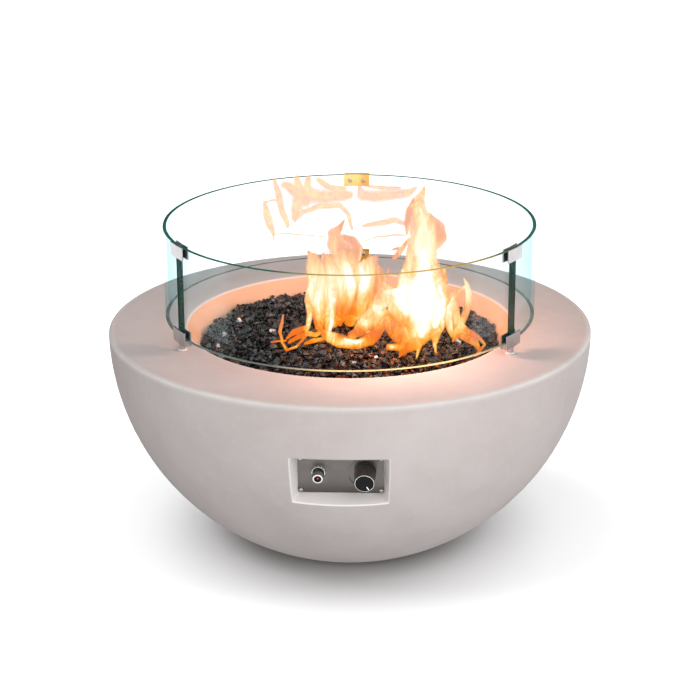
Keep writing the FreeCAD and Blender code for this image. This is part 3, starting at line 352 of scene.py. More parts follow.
MATS = {
    "cast_stone": concrete(),
    "foot_rubber": coated("foot_rubber", (0.035, 0.034, 0.033), 0.72, 700.0, 0.2, 0.3, dust=0.12),
    "stainless": metal("stainless", (0.60, 0.59, 0.575), 0.28, "x", 700.0),
    "burner_steel": metal("burner_steel", (0.46, 0.42, 0.37), 0.38, None, 1200.0, 0.14, 0.3, 30.0, tint=(0.27, 0.19, 0.16)),
    # panel_steel: the dark base colour is partly the plate's own tone and partly painted shade of the plate deep in its
    # recess
    "panel_steel": metal("panel_steel", (0.155, 0.142, 0.134), 0.36, "x", 2600.0, 0.16, 0.16, 14.0, bump=0.16),
    "zinc_steel": metal("zinc_steel", (0.58, 0.58, 0.56), 0.36, None, 260.0, 0.12, 0.35, 120.0, tint=(0.42, 0.43, 0.42)),
    "screw_steel": metal("screw_steel", (0.56, 0.555, 0.55), 0.24, None, 1500.0, 0.1, 0.2, 150.0),
    "brass": metal("brass", (0.76, 0.56, 0.27), 0.27, None, 900.0, 0.12, 0.3, 55.0, tint=(0.47, 0.31, 0.13)),
    "chrome": metal("chrome", (0.66, 0.66, 0.665), 0.09, None, 1500.0, 0.05, 0.08, 60.0, bump=0.03),
    "bezel_black": coated("bezel_black", (0.022, 0.021, 0.021), 0.34, 1200.0, 0.2, 0.08, dust=0.04),
    "knob_bronze": metal("knob_bronze", (0.235, 0.215, 0.20), 0.30, None, 1800.0, 0.1, 0.25, 160.0, tint=(0.13, 0.115, 0.105), bump=0.12),
    "knob_black": coated("knob_black", (0.004, 0.004, 0.0045), 0.34, 1500.0, 0.2, 0.05, dust=0.0, spec=0.12),
    "knob_silver": metal("knob_silver", (0.80, 0.80, 0.80), 0.14, None, 2500.0, 0.07, 0.1, 200.0, bump=0.05),
    "insert_black": coated("insert_black", (0.004, 0.004, 0.004), 0.5, 1800.0, 0.2, 0.15, dust=0.0, spec=0.12),
    "pad_plastic": coated("pad_plastic", (0.62, 0.61, 0.60), 0.42, 900.0, 0.06, 0.1, dust=0.05),
    "gasket_rubber": coated("gasket_rubber", (0.03, 0.031, 0.03), 0.6, 1500.0, 0.15, 0.15, dust=0.05),
    "grommet_rubber": coated("grommet_rubber", (0.04, 0.03, 0.026), 0.62, 1500.0, 0.2, 0.2),
    "ceramic_white": coated("ceramic_white", (0.80, 0.775, 0.735), 0.22, 700.0, 0.05, 0.06, dust=0.12, coat=0.5),
    "igniter_case": coated("igniter_case", (0.03, 0.03, 0.032), 0.4, 800.0, 0.15, 0.15),
    "battery_skin": coated("battery_skin", (0.16, 0.17, 0.18), 0.3, 900.0, 0.1, 0.04, coat=0.4),
    "sleeve_plastic": coated("sleeve_plastic", (0.62, 0.60, 0.56), 0.5, 900.0, 0.08, 0.12),
    "spring_steel": metal("spring_steel", (0.52, 0.52, 0.52), 0.25, None, 1600.0, 0.1, 0.2, 120.0),
    "gas_line": metal("gas_line", (0.55, 0.535, 0.50), 0.32, None, 600.0, 0.12, 0.3, 40.0, tint=(0.40, 0.36, 0.30)),
    "lead_silicone": coated("lead_silicone", (0.30, 0.035, 0.025), 0.5, 900.0, 0.12, 0.1),
    "lead_copper": metal("lead_copper", (0.62, 0.33, 0.20), 0.34, None, 900.0, 0.12, 0.35, 60.0, tint=(0.36, 0.19, 0.12)),
}


def lens_material():
    g = Graph("lens_red")
    facet = g.cells(900.0)
    color = g.mix(g.remap(facet, 0.1, 0.7), (0.26, 0.012, 0.03), (0.42, 0.03, 0.05))
    n = g.bump(facet, 0.2, 0.0002)
    # the faint red emission is a painted glow on the igniter's lens
    return g.finish(g.principled(color, g.remap(facet, 0.0, 0.8, 0.12, 0.3), 0.0, n, Coat_Weight=0.6, Emission_Color=(1.0, 0.06, 0.10), Emission_Strength=0.08))


def clamp_material():
    """Brushed clamp steel, straw yellow on the rear clamps nearest the fire, where an orange emission paints the
    firelight on them.
    """
    g = Graph("clamp_steel")
    lines = g.noise(1.0, 3.0, 0.65, g.mapped((1500.0, 1500.0, 4.0)))
    cloud = g.noise(60.0, 5.0, 0.6)
    x, y, z = g.split()
    base = g.mix(g.remap(cloud, 0.35, 0.7), (0.52, 0.51, 0.515), (0.43, 0.42, 0.425))
    rear_clamps_mask = g.math("MULTIPLY", g.remap(y, 0.2, 0.36), g.remap(cloud, 0.25, 0.5, 0.8, 1.0))
    straw = g.mix(g.remap(x, 0.004, 0.018), (1.0, 0.84, 0.36), (0.95, 0.52, 0.12))
    base = g.mix(rear_clamps_mask, base, straw)
    base = g.mix(g.remap(lines, 0.3, 0.7, 0.0, 0.3), base, (0.36, 0.33, 0.30))
    n = g.bump(lines, 0.1, 0.0002)
    n = g.bump(cloud, 0.05, 0.0006, n)
    # painted firelight: the rear clamps glow orange through emission, stronger lower down
    fire = g.mix(rear_clamps_mask, (0.0, 0.0, 0.0), g.mix(g.remap(z, 0.60, 0.66), (0.55, 0.22, 0.03), (0.30, 0.20, 0.06)))
    return g.finish(g.principled(base, g.remap(lines, 0.25, 0.75, 0.26, 0.42), 1.0, n, Emission_Color=fire, Emission_Strength=0.6))


MATS["clamp_steel"] = clamp_material()
MATS["lens_red"] = lens_material()
PANE = pane_face()
# glass edge finishes: their glow and gold firelight colours are painted light
PANE_RIM = pane_edge("pane_rim", (0.004, 0.060, 0.042), (0.012, 0.13, 0.095), (0.01, 0.12, 0.085), (0.62, 0.36, 0.05))
PANE_END = pane_edge("pane_end", (0.002, 0.012, 0.009), (0.006, 0.03, 0.022), (0.004, 0.04, 0.028), (0.02, 0.05, 0.02))
PANE_LOW = pane_edge("pane_low", (0.10, 0.13, 0.12), (0.20, 0.23, 0.22), (0.05, 0.08, 0.07), (0.80, 0.62, 0.28))
SLOT_OF = {s["node"]: s["material_slot"] for s in frame["record"]["subparts"]}

for name, obj in NODES.items():
    slot = SLOT_OF[name]
    mesh = obj.data
    if slot in MATS:
        mesh.materials.clear()
        mesh.materials.append(MATS[slot])

# glass panels: faces, long edges and end faces get their own finish
for name in ("glass_panel_left", "glass_panel_front", "glass_panel_right"):
    mesh = NODES[name].data
    mesh.materials.clear()
    for m in (PANE, PANE_RIM, PANE_END, PANE_LOW):
        mesh.materials.append(m)
    count = len(mesh.polygons)
    normals = np.empty(count * 3)
    centres = np.empty(count * 3)
    mesh.polygons.foreach_get("normal", normals)
    mesh.polygons.foreach_get("center", centres)
    normals, centres = normals.reshape(-1, 3), centres.reshape(-1, 3)
    rad = np.hypot(centres[:, 0], centres[:, 1])
    radial = np.abs((normals[:, 0] * centres[:, 0] + normals[:, 1] * centres[:, 1]) / rad)
    index = np.where(radial > 0.93, 0, np.where(normals[:, 2] > 0.35, 1, np.where(normals[:, 2] < -0.35, 3, 2))).astype(np.int32)
    mesh.polygons.foreach_set("material_index", index)
    mesh.update()
    NODES[name].visible_shadow = False


# ------------------------------------------------------------------ pieces
def piece(name, verts, faces, mats, body, smooth=False):
    mesh = bpy.data.meshes.new(name)
    mesh.from_pydata(verts, [], faces)
    for m in mats:
        mesh.materials.append(m)
    mesh.validate()
    if smooth:
        mesh.shade_smooth()
    mesh.update()
    obj = bpy.data.objects.new(name, mesh)
    scene.collection.objects.link(obj)
    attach(obj, body)
    return obj


# ------------------------------------------------------------------ fire glass
def chip_material():
    g = Graph("fire_glass_black")
    tone = g.attr("tone")
    cloud = g.noise(300.0, 3.0, 0.6)
    flake = g.noise(90.0, 2.0, 0.5)
    base = g.mix(g.remap(tone, 0.0, 1.0), (0.003, 0.003, 0.0035), (0.012, 0.011, 0.0115))
    base = g.mix(g.remap(cloud, 0.5, 0.8, 0.0, 0.3), base, (0.03, 0.027, 0.027))
    base = g.mix(g.remap(tone, 0.84, 0.97), base, (0.050, 0.050, 0.053))
    # painted firelight: chips near the foot of the flames, left of centre and on the right, painted orange-brown for
    # the glow falling on them
    px, py, _ = g.split()
    near = g.math("MULTIPLY", g.remap(px, -0.18, 0.06), g.remap(py, 0.06, -0.16))
    near = g.math("MAXIMUM", near, g.math("MULTIPLY", g.remap(px, 0.13, 0.22), 0.8))
    lit = g.math("MULTIPLY", near, g.remap(g.noise(70.0, 2.0, 0.5), 0.49, 0.70))
    base = g.mix(lit, base, (0.15, 0.055, 0.022))
    rough = g.math("ADD", g.remap(tone, 0.0, 1.0, 0.08, 0.30), g.remap(flake, 0.4, 0.7, 0.0, 0.12), clamp=True)
    n = g.bump(cloud, 0.18, 0.0006)
    return g.finish(g.principled(base, rough, 0.0, n, IOR=1.52, Coat_Weight=0.35, Specular_IOR_Level=0.62))


def pale_chip_material():
    g = Graph("fire_glass_pale")
    cloud = g.noise(260.0, 4.0, 0.6)
    base = g.mix(g.remap(cloud, 0.3, 0.7), (0.20, 0.20, 0.205), (0.62, 0.62, 0.63))
    n = g.bump(cloud, 0.25, 0.0008)
    return g.finish(g.principled(base, g.remap(cloud, 0.3, 0.7, 0.08, 0.3), 0.0, n, IOR=1.52))


def bed_material():
    g = Graph("fire_glass_depth")
    grain = g.cells(120.0)
    cloud = g.noise(60.0, 3.0, 0.6)
    base = g.mix(g.remap(grain, 0.1, 0.6), (0.004, 0.004, 0.004), (0.018, 0.016, 0.015))
    n = g.bump(grain, 0.7, 0.004)
    return g.finish(g.principled(base, g.remap(cloud, 0.3, 0.7, 0.2, 0.5), 0.0, n))


def bed_height(r):
    """Top of the fire glass heap at a radius: a flat dome with a full shoulder."""
    t = min(1.0, r / BED_EDGE_R)
    return BED_TOP_Z - 0.0068 * (t / 0.52) ** 2 if t < 0.52 else (
        BED_TOP_Z - 0.0068 - (BED_TOP_Z - 0.0068 - BED_EDGE_Z) * (((t - 0.52) / 0.48) ** 1.35))


def heap_drift(x, y):
    """Slow rise and fall of the heap, as it was poured and raked by hand."""
    mound = 0.010 * math.exp(-((x + 0.20) ** 2 + (y - 0.13) ** 2) / 0.006) + 0.007 * math.exp(-((x - 0.26) ** 2 + (y + 0.02) ** 2) / 0.003)
    return mound + 0.006 * noise.noise(Vector((x * 7.0, y * 7.0, 3.7))) + 0.0045 * noise.noise(Vector((x * 21.0, y * 21.0, 9.1)))


def chips():
    rng = random.Random(41)
    shapes = []
    for k in range(36):
        bm = bmesh.new()
        kind = k % 3
        n = 7 if kind == 0 else 9 if kind == 1 else 6
        sx, sy, sz = (1.0, rng.uniform(0.7, 0.95), rng.uniform(0.5, 0.8)) if kind != 2 else (1.0, rng.uniform(0.55, 0.7), rng.uniform(0.35, 0.5))
        pts = []
        while len(pts) < n:
            p = Vector((rng.gauss(0, 1), rng.gauss(0, 1), rng.gauss(0, 1))).normalized()
            if all((p - q).length > 0.62 for q in pts):
                pts.append(p)
        for p in pts:
            w = rng.uniform(0.84, 1.0)
            bm.verts.new((p.x * sx * w, p.y * sy * w, p.z * sz * w))
        hull = bmesh.ops.convex_hull(bm, input=bm.verts)
        junk = {e for e in hull["geom_unused"] + hull["geom_interior"] if isinstance(e, bmesh.types.BMVert)}
        if junk:
            bmesh.ops.delete(bm, geom=list(junk), context="VERTS")
        bm.normal_update()
        bm.verts.index_update()
        shapes.append((np.array([v.co[:] for v in bm.verts]), [[v.index for v in f.verts] for f in bm.faces]))
        bm.free()
    spots = []
    for layer, (pitch, lift0, lift1) in enumerate(((0.0128, -0.0050, 0.0005), (0.0150, 0.0005, 0.0055), (0.0225, 0.0050, 0.0120))):
        rows = int(2 * BED_EDGE_R / (pitch * 0.866)) + 2
        for j in range(-rows // 2, rows // 2 + 1):
            for i in range(-rows // 2, rows // 2 + 1):
                x = (i + 0.5 * (j % 2)) * pitch + rng.uniform(-0.36, 0.36) * pitch
                y = j * pitch * 0.866 + rng.uniform(-0.36, 0.36) * pitch
                size = rng.choice((0.0068, 0.0080, 0.0092, 0.0104, 0.0120)) * rng.uniform(0.9, 1.12)
                r = math.hypot(x, y)
                lift = rng.uniform(lift0, lift1)
                z = bed_height(r) + heap_drift(x, y) + lift
                wall = LIP_R - (RIM_Z - z) * BASIN_SLOPE
                if r > wall - size * 0.75:
                    continue
                if layer == 2 and r > 0.285:
                    continue
                spots.append((x, y, z, size, layer))
    verts, faces, tone, pale, offset = [], [], [], [], 0
    for x, y, z, size, layer in spots:
        v, f = shapes[rng.randrange(len(shapes))]
        tip = rng.uniform(-0.5, 0.5) if layer == 0 else rng.uniform(-1.1, 1.1)
        rot = Matrix.Rotation(rng.uniform(0, math.tau), 3, "Z") @ Matrix.Rotation(tip, 3, "X") @ Matrix.Rotation(rng.uniform(-0.6, 0.6), 3, "Y")
        w = v * size @ np.array(rot).T + (x, y, z)
        verts.append(w)
        faces += [[i + offset for i in face] for face in f]
        offset += len(v)
        t = rng.random()
        is_pale = layer > 0 and rng.random() < 0.012
        tone += [t] * len(f)
        pale += [1 if is_pale else 0] * len(f)
    obj = piece("fire_glass_chips", np.concatenate(verts).tolist(), faces, [chip_material(), pale_chip_material()], "bowl")
    mesh = obj.data
    if len(mesh.polygons) == len(tone):
        mesh.attributes.new("tone", "FLOAT", "FACE").data.foreach_set("value", tone)
        mesh.polygons.foreach_set("material_index", pale)
    mesh.update()
    return obj


def bed():
    """Dark mass of fire glass under the loose top chips, one closed turned form with a broken top."""
    rings, spokes = 46, 120
    verts, faces = [], []
    for i in range(rings + 1):
        r = BED_EDGE_R * i / rings
        for j in range(spokes):
            a = math.tau * j / spokes
            x, y = r * math.cos(a), r * math.sin(a)
            z = bed_height(r) + heap_drift(x, y) - 0.0042 + 0.0018 * noise.noise(Vector((x * 90.0, y * 90.0, 1.3)))
            wall = LIP_R - (RIM_Z - z) * BASIN_SLOPE - 0.001
            k = min(1.0, wall / max(r, 1e-6))
            verts.append((x * k, y * k, z))
    for i in range(rings):
        for j in range(spokes):
            a, b = i * spokes + j, i * spokes + (j + 1) % spokes
            faces.append([a, a + spokes, b + spokes, b])
    low = len(verts)
    for z, r in ((0.4240, 0.3170), (0.4240, 0.2920), (0.3745, 0.2815)):
        for j in range(spokes):
            a = math.tau * j / spokes
            verts.append((r * math.cos(a), r * math.sin(a), z))
    chain = [rings * spokes, low, low + spokes, low + 2 * spokes]
    for top, bot in zip(chain, chain[1:]):
        for j in range(spokes):
            k = (j + 1) % spokes
            faces.append([top + j, bot + j, bot + k, top + k])
    centre = len(verts)
    verts.append((0.0, 0.0, 0.3745))
    for j in range(spokes):
        faces.append([chain[-1] + j, centre, chain[-1] + (j + 1) % spokes])
    mesh_obj = piece("fire_glass_mass", verts, faces, [bed_material()], "bowl")
    bm = bmesh.new()
    bm.from_mesh(mesh_obj.data)
    bmesh.ops.remove_doubles(bm, verts=bm.verts, dist=1e-6)
    bmesh.ops.recalc_face_normals(bm, faces=bm.faces)
    bm.to_mesh(mesh_obj.data)
    bm.free()
    return mesh_obj


loose = chips()
mass = bed()
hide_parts("fire_glass_bed")

# ------------------------------------------------------------------ flames
# Each flame is a set of strokes: points (a, b, radius, depth y). a and b run across and down a sheet in front
# of the fire, 6.817 units to a frame pixel from its corner (270, 175), and depth is the distance back in metres.
UNIT = 6.817


def flame_material(label="flame", across=62.0, along=11.0, swing=1.0):
    g = Graph(label)
    heat = g.attr("warmth")
    rise = g.attr("rise")
    cover = g.attr("cover")
    lick = g.noise(1.0, 4.0, 0.6, g.mapped((across, across, along)), 0.8)
    wisp = g.noise(1.0, 3.0, 0.55, g.mapped((150.0, 150.0, 26.0)), 0.5)
    h = g.math("ADD", heat, g.remap(lick, 0.3, 0.7, -0.33 * swing, 0.20 * swing))
    h = g.math("ADD", h, g.remap(wisp, 0.3, 0.7, -0.06 * swing, 0.05 * swing), clamp=True)
    high = g.ramp(h, ((0.0, (0.88, 0.40, 0.25)), (0.12, (0.97, 0.50, 0.27)), (0.28, (1.0, 0.64, 0.33)), (0.46, (1.0, 0.80, 0.48)), (0.66, (1.0, 0.92, 0.70)), (0.88, (1.0, 0.985, 0.92))))
    low = g.ramp(h, ((0.0, (0.95, 0.18, 0.008)), (0.12, (1.0, 0.27, 0.014)), (0.30, (1.0, 0.39, 0.03)), (0.48, (1.0, 0.56, 0.12)), (0.66, (1.0, 0.80, 0.42)), (0.86, (1.0, 0.97, 0.86))))
    color = g.mix(g.remap(rise, 0.10, 0.60, smooth=True), low, high)
    glow = g.add("Emission")
    g.put(glow.inputs["Color"], color)
    g.put(glow.inputs["Strength"], g.remap(h, 0.0, 1.0, 1.06, 1.25))
    clear = g.add("BsdfTransparent")
    mixer = g.add("MixShader")
    a = g.math("MULTIPLY", cover, g.remap(lick, 0.25, 0.6, 0.70, 1.0), clamp=True)
    g.put(mixer.inputs[0], a)
    g.put(mixer.inputs[1], clear.outputs[0])
    g.put(mixer.inputs[2], glow.outputs[0])
    return g.finish(mixer.outputs[0])


FLAME = flame_material()
PAINTED_REFLECTION = flame_material("painted_reflection_glow", 17.0, 24.0, 0.7)
FIRE_FLOOR = 0.487
LEVELS = ((0.0, 0.74, 0.26), (0.34, 0.62, 0.30))
# centres of heat: across, down, half width, half height (enlarged view units), strength
HEARTS = (
    (1048, 850, 150, 240, 1.0), (1062, 600, 84, 200, 0.86), (1050, 400, 58, 170, 0.66), (1030, 190, 56, 100, 0.34),
    (920, 780, 120, 92, 0.78), (1172, 890, 64, 160, 0.78), (1020, 1060, 70, 60, 0.74),
    (780, 900, 120, 62, 0.88), (690, 985, 95, 44, 0.80),
    (350, 740, 54, 170, 0.84), (440, 810, 66, 165, 0.90), (560, 720, 100, 130, 0.88), (690, 700, 68, 120, 0.80),
    (500, 470, 40, 90, 0.46), (590, 1112, 110, 34, 1.0), (340, 980, 26, 110, 0.84), (478, 1040, 36, 100, 0.84),
    (1230, 960, 36, 130, 0.80), (1335, 800, 40, 110, 0.80), (1300, 1010, 40, 80, 0.58), (1420, 1120, 50, 26, 0.58),
    (240, 1140, 66, 16, 0.60), (168, 1120, 22, 50, 0.46), (390, 1080, 40, 30, 0.40), (1020, 1190, 24, 70, 0.70), (1130, 1150, 22, 60, 0.70), (860, 1140, 34, 16, 0.80),
)


def heat_at(a, b, f):
    """Heat of the fire at a point: white hearts, cooler feet, tips and outlines."""
    x, y = (a / UNIT + 15.0) * 6.272, (b / UNIT + 10.0) * 6.272
    rest = 1.0
    for cx, cy, rx, ry, k in HEARTS:
        rest *= 1.0 - k * math.exp(-(((x - cx) / rx) ** 2 + ((y - cy) / ry) ** 2))
    return (1.0 - rest) * (0.60 + 0.40 * min(1.0, max(0.0, f) * 1.9))


def flame(name, strokes, fatness=0.75, step=5.2, wobble=9.0, seed=0.0, gain=0.84, thick=1.0, shift=0.0, body="bowl", slot="fire_glass"):
    """Closed nested shells of one flame. Heat falls from the stroke lines to the outline."""
    pts = [p for s in strokes for p in s]
    a0, a1 = min(p[0] - p[2] for p in pts) - 14, max(p[0] + p[2] for p in pts) + 14
    b0, b1 = min(p[1] - p[2] for p in pts) - 14, max(p[1] + p[2] for p in pts) + 14
    na, nb = int((a1 - a0) / step) + 2, int((b1 - b0) / step) + 2
    A, B = np.meshgrid(a0 + step * np.arange(na), b0 + step * np.arange(nb))
    WA, WB = A.copy(), B.copy()
    for j in range(nb):
        for i in range(na):
            q = Vector((A[j, i] / 95.0, B[j, i] / 150.0, seed))
            q2 = Vector((A[j, i] / 34.0, B[j, i] / 60.0, seed + 5.0))
            WA[j, i] += wobble * noise.noise(q) * 1.6 + wobble * 0.4 * noise.noise(q2)
            WB[j, i] += wobble * 0.8 * noise.noise(q + Vector((7.3, 1.9, 4.1)))
    F = np.full(A.shape, -9.0)
    Wsum = np.zeros(A.shape)
    Dsum = np.zeros(A.shape)
    Rsum = np.zeros(A.shape)
    for s in strokes:
        for p, q in zip(s, s[1:]):
            dx, dy = q[0] - p[0], q[1] - p[1]
            L = max(1e-6, dx * dx + dy * dy)
            t = np.clip(((WA - p[0]) * dx + (WB - p[1]) * dy) / L, 0, 1)
            d = np.hypot(WA - p[0] - t * dx, WB - p[1] - t * dy)
            r = p[2] + t * (q[2] - p[2])
            f = 1.0 - d / np.maximum(r, 1.0)
            F = np.maximum(F, f)
            w = np.exp(np.clip(5.0 * f, -30, 5))
            Wsum += w
            Dsum += w * (p[3] + t * (q[3] - p[3]))
            Rsum += w * r
    D, R = Dsum / Wsum + shift, Rsum / Wsum
    F = np.where(F > 0, F ** 0.8, F)
    verts, faces, heat, rise, cover = [], [], [], [], []
    inv_scale = 1.0 / (UNIT * 457.0)
    for level, strength, soft in LEVELS:
        G = F - level
        inside = G > 0
        ident = {}

        def corner(key, a, b, g, f, depth, rad):
            """Front and back vertex at one place, the same vertex where the sheet thins out to nothing."""
            if key in ident:
                return ident[key]
            base = on_plane_y(270.0 + a / UNIT, 175.0 + b / UNIT, depth)
            if base.z < FIRE_FLOOR:
                d = sight(270.0 + a / UNIT, 175.0 + b / UNIT)
                base = CAM_AT + d * ((FIRE_FLOOR - CAM_AT.z) / d.z)
            way = (base - CAM_AT).normalized()
            h = math.sqrt(max(0.0, g / (1.0 - level)))
            half = fatness * rad * inv_scale * h * (1.0 - 0.8 * level)
            edge = g <= 1e-6
            out = []
            for side in ((0,) if edge else (-1, 1)):
                w = base + way * (side * half)
                verts.append(w[:])
                heat.append(gain * heat_at(a, b, f) if slot != "clear_glass" else 0.04 + gain * max(f, 0.0))
                rise.append(min(1.0, max(0.0, (w.z - 0.455) / 0.27)))
                cover.append(thick * (strength * min(1.0, 0.38 + 0.62 * g / soft) if level == 0.0 else strength * min(1.0, g / soft)))
                out.append(len(verts) - 1)
            ident[key] = (out[0], out[-1])
            return ident[key]

        def grid(j, i):
            return corner((j, i), A[j, i], B[j, i], G[j, i], F[j, i], D[j, i], R[j, i])

        def crossing(j, i, j2, i2):
            key = (j, i, j2, i2) if (j, i) < (j2, i2) else (j2, i2, j, i)
            g0, g1 = G[j, i], G[j2, i2]
            t = g0 / (g0 - g1)
            mixv = lambda M: M[j, i] + t * (M[j2, i2] - M[j, i])
            return corner(key, mixv(A), mixv(B), 0.0, level, mixv(D), mixv(R))

        for j in range(nb - 1):
            for i in range(na - 1):
                ring = ((j, i), (j, i + 1), (j + 1, i + 1), (j + 1, i))
                mask = [inside[c] for c in ring]
                if not any(mask):
                    continue
                if all(mask):
                    cells = [[grid(*c) for c in ring]]
                else:
                    if mask == [True, False, True, False] or mask == [False, True, False, True]:
                        cells = []
                        for k in range(4):
                            if mask[k]:
                                cells.append([crossing(*ring[k], *ring[k - 1]), grid(*ring[k]), crossing(*ring[k], *ring[(k + 1) % 4])])
                    else:
                        loop = []
                        for k in range(4):
                            n = (k + 1) % 4
                            if mask[k]:
                                loop.append(grid(*ring[k]))
                            if mask[k] != mask[n]:
                                loop.append(crossing(*ring[k], *ring[n]))
                        cells = [loop]
                for cell in cells:
                    front = [c[0] for c in cell]
                    back = [c[1] for c in cell][::-1]
                    if len(set(front)) >= 3:
                        faces.append(front)
                    if len(set(back)) >= 3 and set(back) != set(front):
                        faces.append(back)
    obj = piece(name, verts, faces, [PAINTED_REFLECTION if slot == "clear_glass" else FLAME], body, smooth=True)
    mesh = obj.data
    for key, values in (("warmth", heat), ("rise", rise), ("cover", cover)):
        if len(mesh.vertices) == len(values):
            mesh.attributes.new(key, "FLOAT", "POINT").data.foreach_set("value", values)
    obj.visible_shadow = False
    obj.visible_diffuse = False
    return obj


flame("flame_tall", [
    [(1046, 88, 10, .186), (1024, 160, 34, .176), (1008, 250, 66, .164), (1035, 340, 88, .152), (1056, 430, 96, .140), (1052, 520, 86, .138), (1058, 620, 96, .135), (1062, 720, 118, .10), (1060, 830, 128, .07), (1055, 930, 110, .04)],
    [(1090, 280, 22, .142), (1138, 360, 48, .140), (1158, 425, 46, .138), (1140, 480, 26, .138)],
    [(986, 170, 20, .17), (950, 250, 30, .16), (940, 330, 24, .144), (936, 400, 10, .144)],
    [(958, 440, 12, .140), (955, 510, 34, .138), (950, 590, 38, .136), (925, 680, 46, .134), (915, 780, 60, .09), (920, 900, 60, .05)],
    [(1180, 640, 14, .125), (1180, 740, 30, .10), (1185, 850, 34, .07), (1180, 920, 30, .04)],
], seed=1.0)
flame("flame_lick", [
    [(846, 566, 16, .11), (880, 528, 20, .112), (922, 474, 14, .114), (950, 434, 7, .116)],
    [(836, 508, 9, .11), (872, 502, 12, .11), (905, 498, 9, .11)],
], seed=2.0, wobble=6.0, step=3.2)
flame("flame_middle", [
    [(508, 312, 7, .075), (478, 362, 26, .075), (436, 402, 46, .075), (452, 462, 66, .074), (500, 530, 92, .072), (520, 600, 82, .07), (556, 670, 66, .068), (590, 740, 76, .064), (590, 830, 74, .06), (560, 930, 66, .055), (540, 985, 50, .05)],
    [(505, 420, 20, .076), (560, 446, 34, .076), (600, 505, 30, .076), (592, 570, 22, .074)],
    [(716, 570, 22, .05), (690, 600, 44, .05), (690, 680, 48, .05), (676, 760, 46, .05), (640, 850, 44, .045), (610, 960, 40, .04)],
    [(640, 590, 16, .055), (640, 680, 34, .052), (640, 760, 44, .05)],
    [(440, 650, 30, .06), (470, 720, 72, .058), (500, 800, 84, .055), (500, 890, 66, .05), (470, 970, 40, .045)],
    [(655, 640, 40, .055), (660, 720, 74, .052), (640, 800, 78, .05), (600, 880, 60, .045)],
    [(700, 760, 30, .05), (770, 810, 52, .04), (840, 850, 60, .03)],
], seed=3.0, shift=-0.04)
flame("flame_left", [
    [(258, 524, 12, .03), (284, 562, 36, .03), (316, 612, 52, .028), (334, 690, 56, .025), (326, 780, 54, .02), (320, 870, 50, .012), (330, 960, 44, .0), (330, 1040, 30, -.02)],
    [(360, 540, 16, .034), (378, 590, 38, .033), (420, 660, 54, .03), (446, 740, 56, .028), (440, 830, 52, .02), (420, 920, 44, .005), (400, 1010, 38, -.02), (396, 1090, 26, -.04)],
    [(300, 720, 30, .02), (276, 800, 28, .01), (262, 860, 20, 0.0), (274, 950, 17, -.03), (262, 1030, 14, -.06), (240, 1108, 12, -.09), (172, 1172, 9, -.12), (112, 1192, 9, -.14), (76, 1140, 10, -.13), (62, 1070, 14, -.12), (80, 1004, 15, -.11), (90, 952, 6, -.105)],
], seed=4.0, shift=-0.08)
flame("flame_front", [
    [(900, 650, 12, -.02), (910, 720, 44, -.025), (960, 790, 92, -.03), (1020, 880, 132, -.04), (1040, 970, 124, -.06), (1030, 1050, 92, -.085), (1016, 1120, 52, -.12), (1008, 1180, 18, -.15), (998, 1244, 6, -.185)],
    [(1110, 760, 22, -.02), (1130, 850, 54, -.03), (1150, 940, 56, -.05), (1140, 1030, 52, -.075), (1122, 1100, 34, -.11), (1118, 1160, 14, -.14), (1134, 1214, 6, -.165)],
    [(960, 780, 56, -.03), (866, 822, 44, -.035), (790, 856, 42, -.045), (730, 905, 42, -.06), (664, 968, 36, -.075), (604, 1034, 26, -.09), (556, 1088, 7, -.1)],
    [(810, 640, 5, -.02), (796, 696, 13, -.022), (776, 764, 26, -.03), (748, 840, 36, -.045)],
    [(840, 900, 40, -.05), (900, 960, 40, -.06)],
], seed=5.0, shift=-0.08)
flame("flame_right", [
    [(1320, 704, 5, -.05), (1346, 756, 20, -.052), (1360, 816, 24, -.055), (1352, 876, 26, -.06), (1328, 944, 24, -.068), (1302, 1010, 26, -.078), (1272, 1072, 32, -.09), (1256, 1110, 16, -.1), (1244, 1136, 5, -.108)],
    [(1334, 758, 11, -.055), (1292, 790, 14, -.058), (1252, 838, 17, -.062), (1226, 900, 21, -.07), (1216, 970, 21, -.08), (1224, 1040, 18, -.09), (1240, 1096, 10, -.1)],
    [(1284, 872, 10, -.065), (1272, 940, 20, -.072), (1272, 1000, 26, -.08)],
    [(1300, 1010, 15, -.082), (1342, 1052, 18, -.1), (1402, 1096, 16, -.13), (1456, 1136, 13, -.15), (1472, 1156, 9, -.155), (1432, 1194, 13, -.165), (1394, 1236, 5, -.18)],
    [(1276, 1090, 22, -.1), (1340, 1112, 26, -.12), (1396, 1146, 24, -.14), (1420, 1180, 16, -.155)],
], seed=6.0, step=4.2, shift=-0.08)
flame("flame_sweep", [
    [(366, 1070, 21, -.06), (404, 1100, 36, -.075), (470, 1128, 48, -.09), (550, 1148, 42, -.1), (620, 1152, 33, -.1), (672, 1126, 42, -.095), (722, 1070, 48, -.08), (772, 1008, 39, -.065), (802, 976, 15, -.06)],
    [(790, 1000, 33, -.07), (846, 1042, 54, -.08), (900, 1100, 60, -.1), (936, 1160, 48, -.13), (902, 1206, 27, -.15), (878, 1246, 6, -.17)],
    [(560, 1090, 30, -.09), (620, 1060, 39, -.085), (680, 1010, 45, -.075), (740, 950, 39, -.06)],
    [(820, 1170, 21, -.13), (868, 1176, 27, -.135), (930, 1170, 39, -.135), (985, 1150, 45, -.125)],
], seed=7.0, wobble=12.0, shift=-0.09)
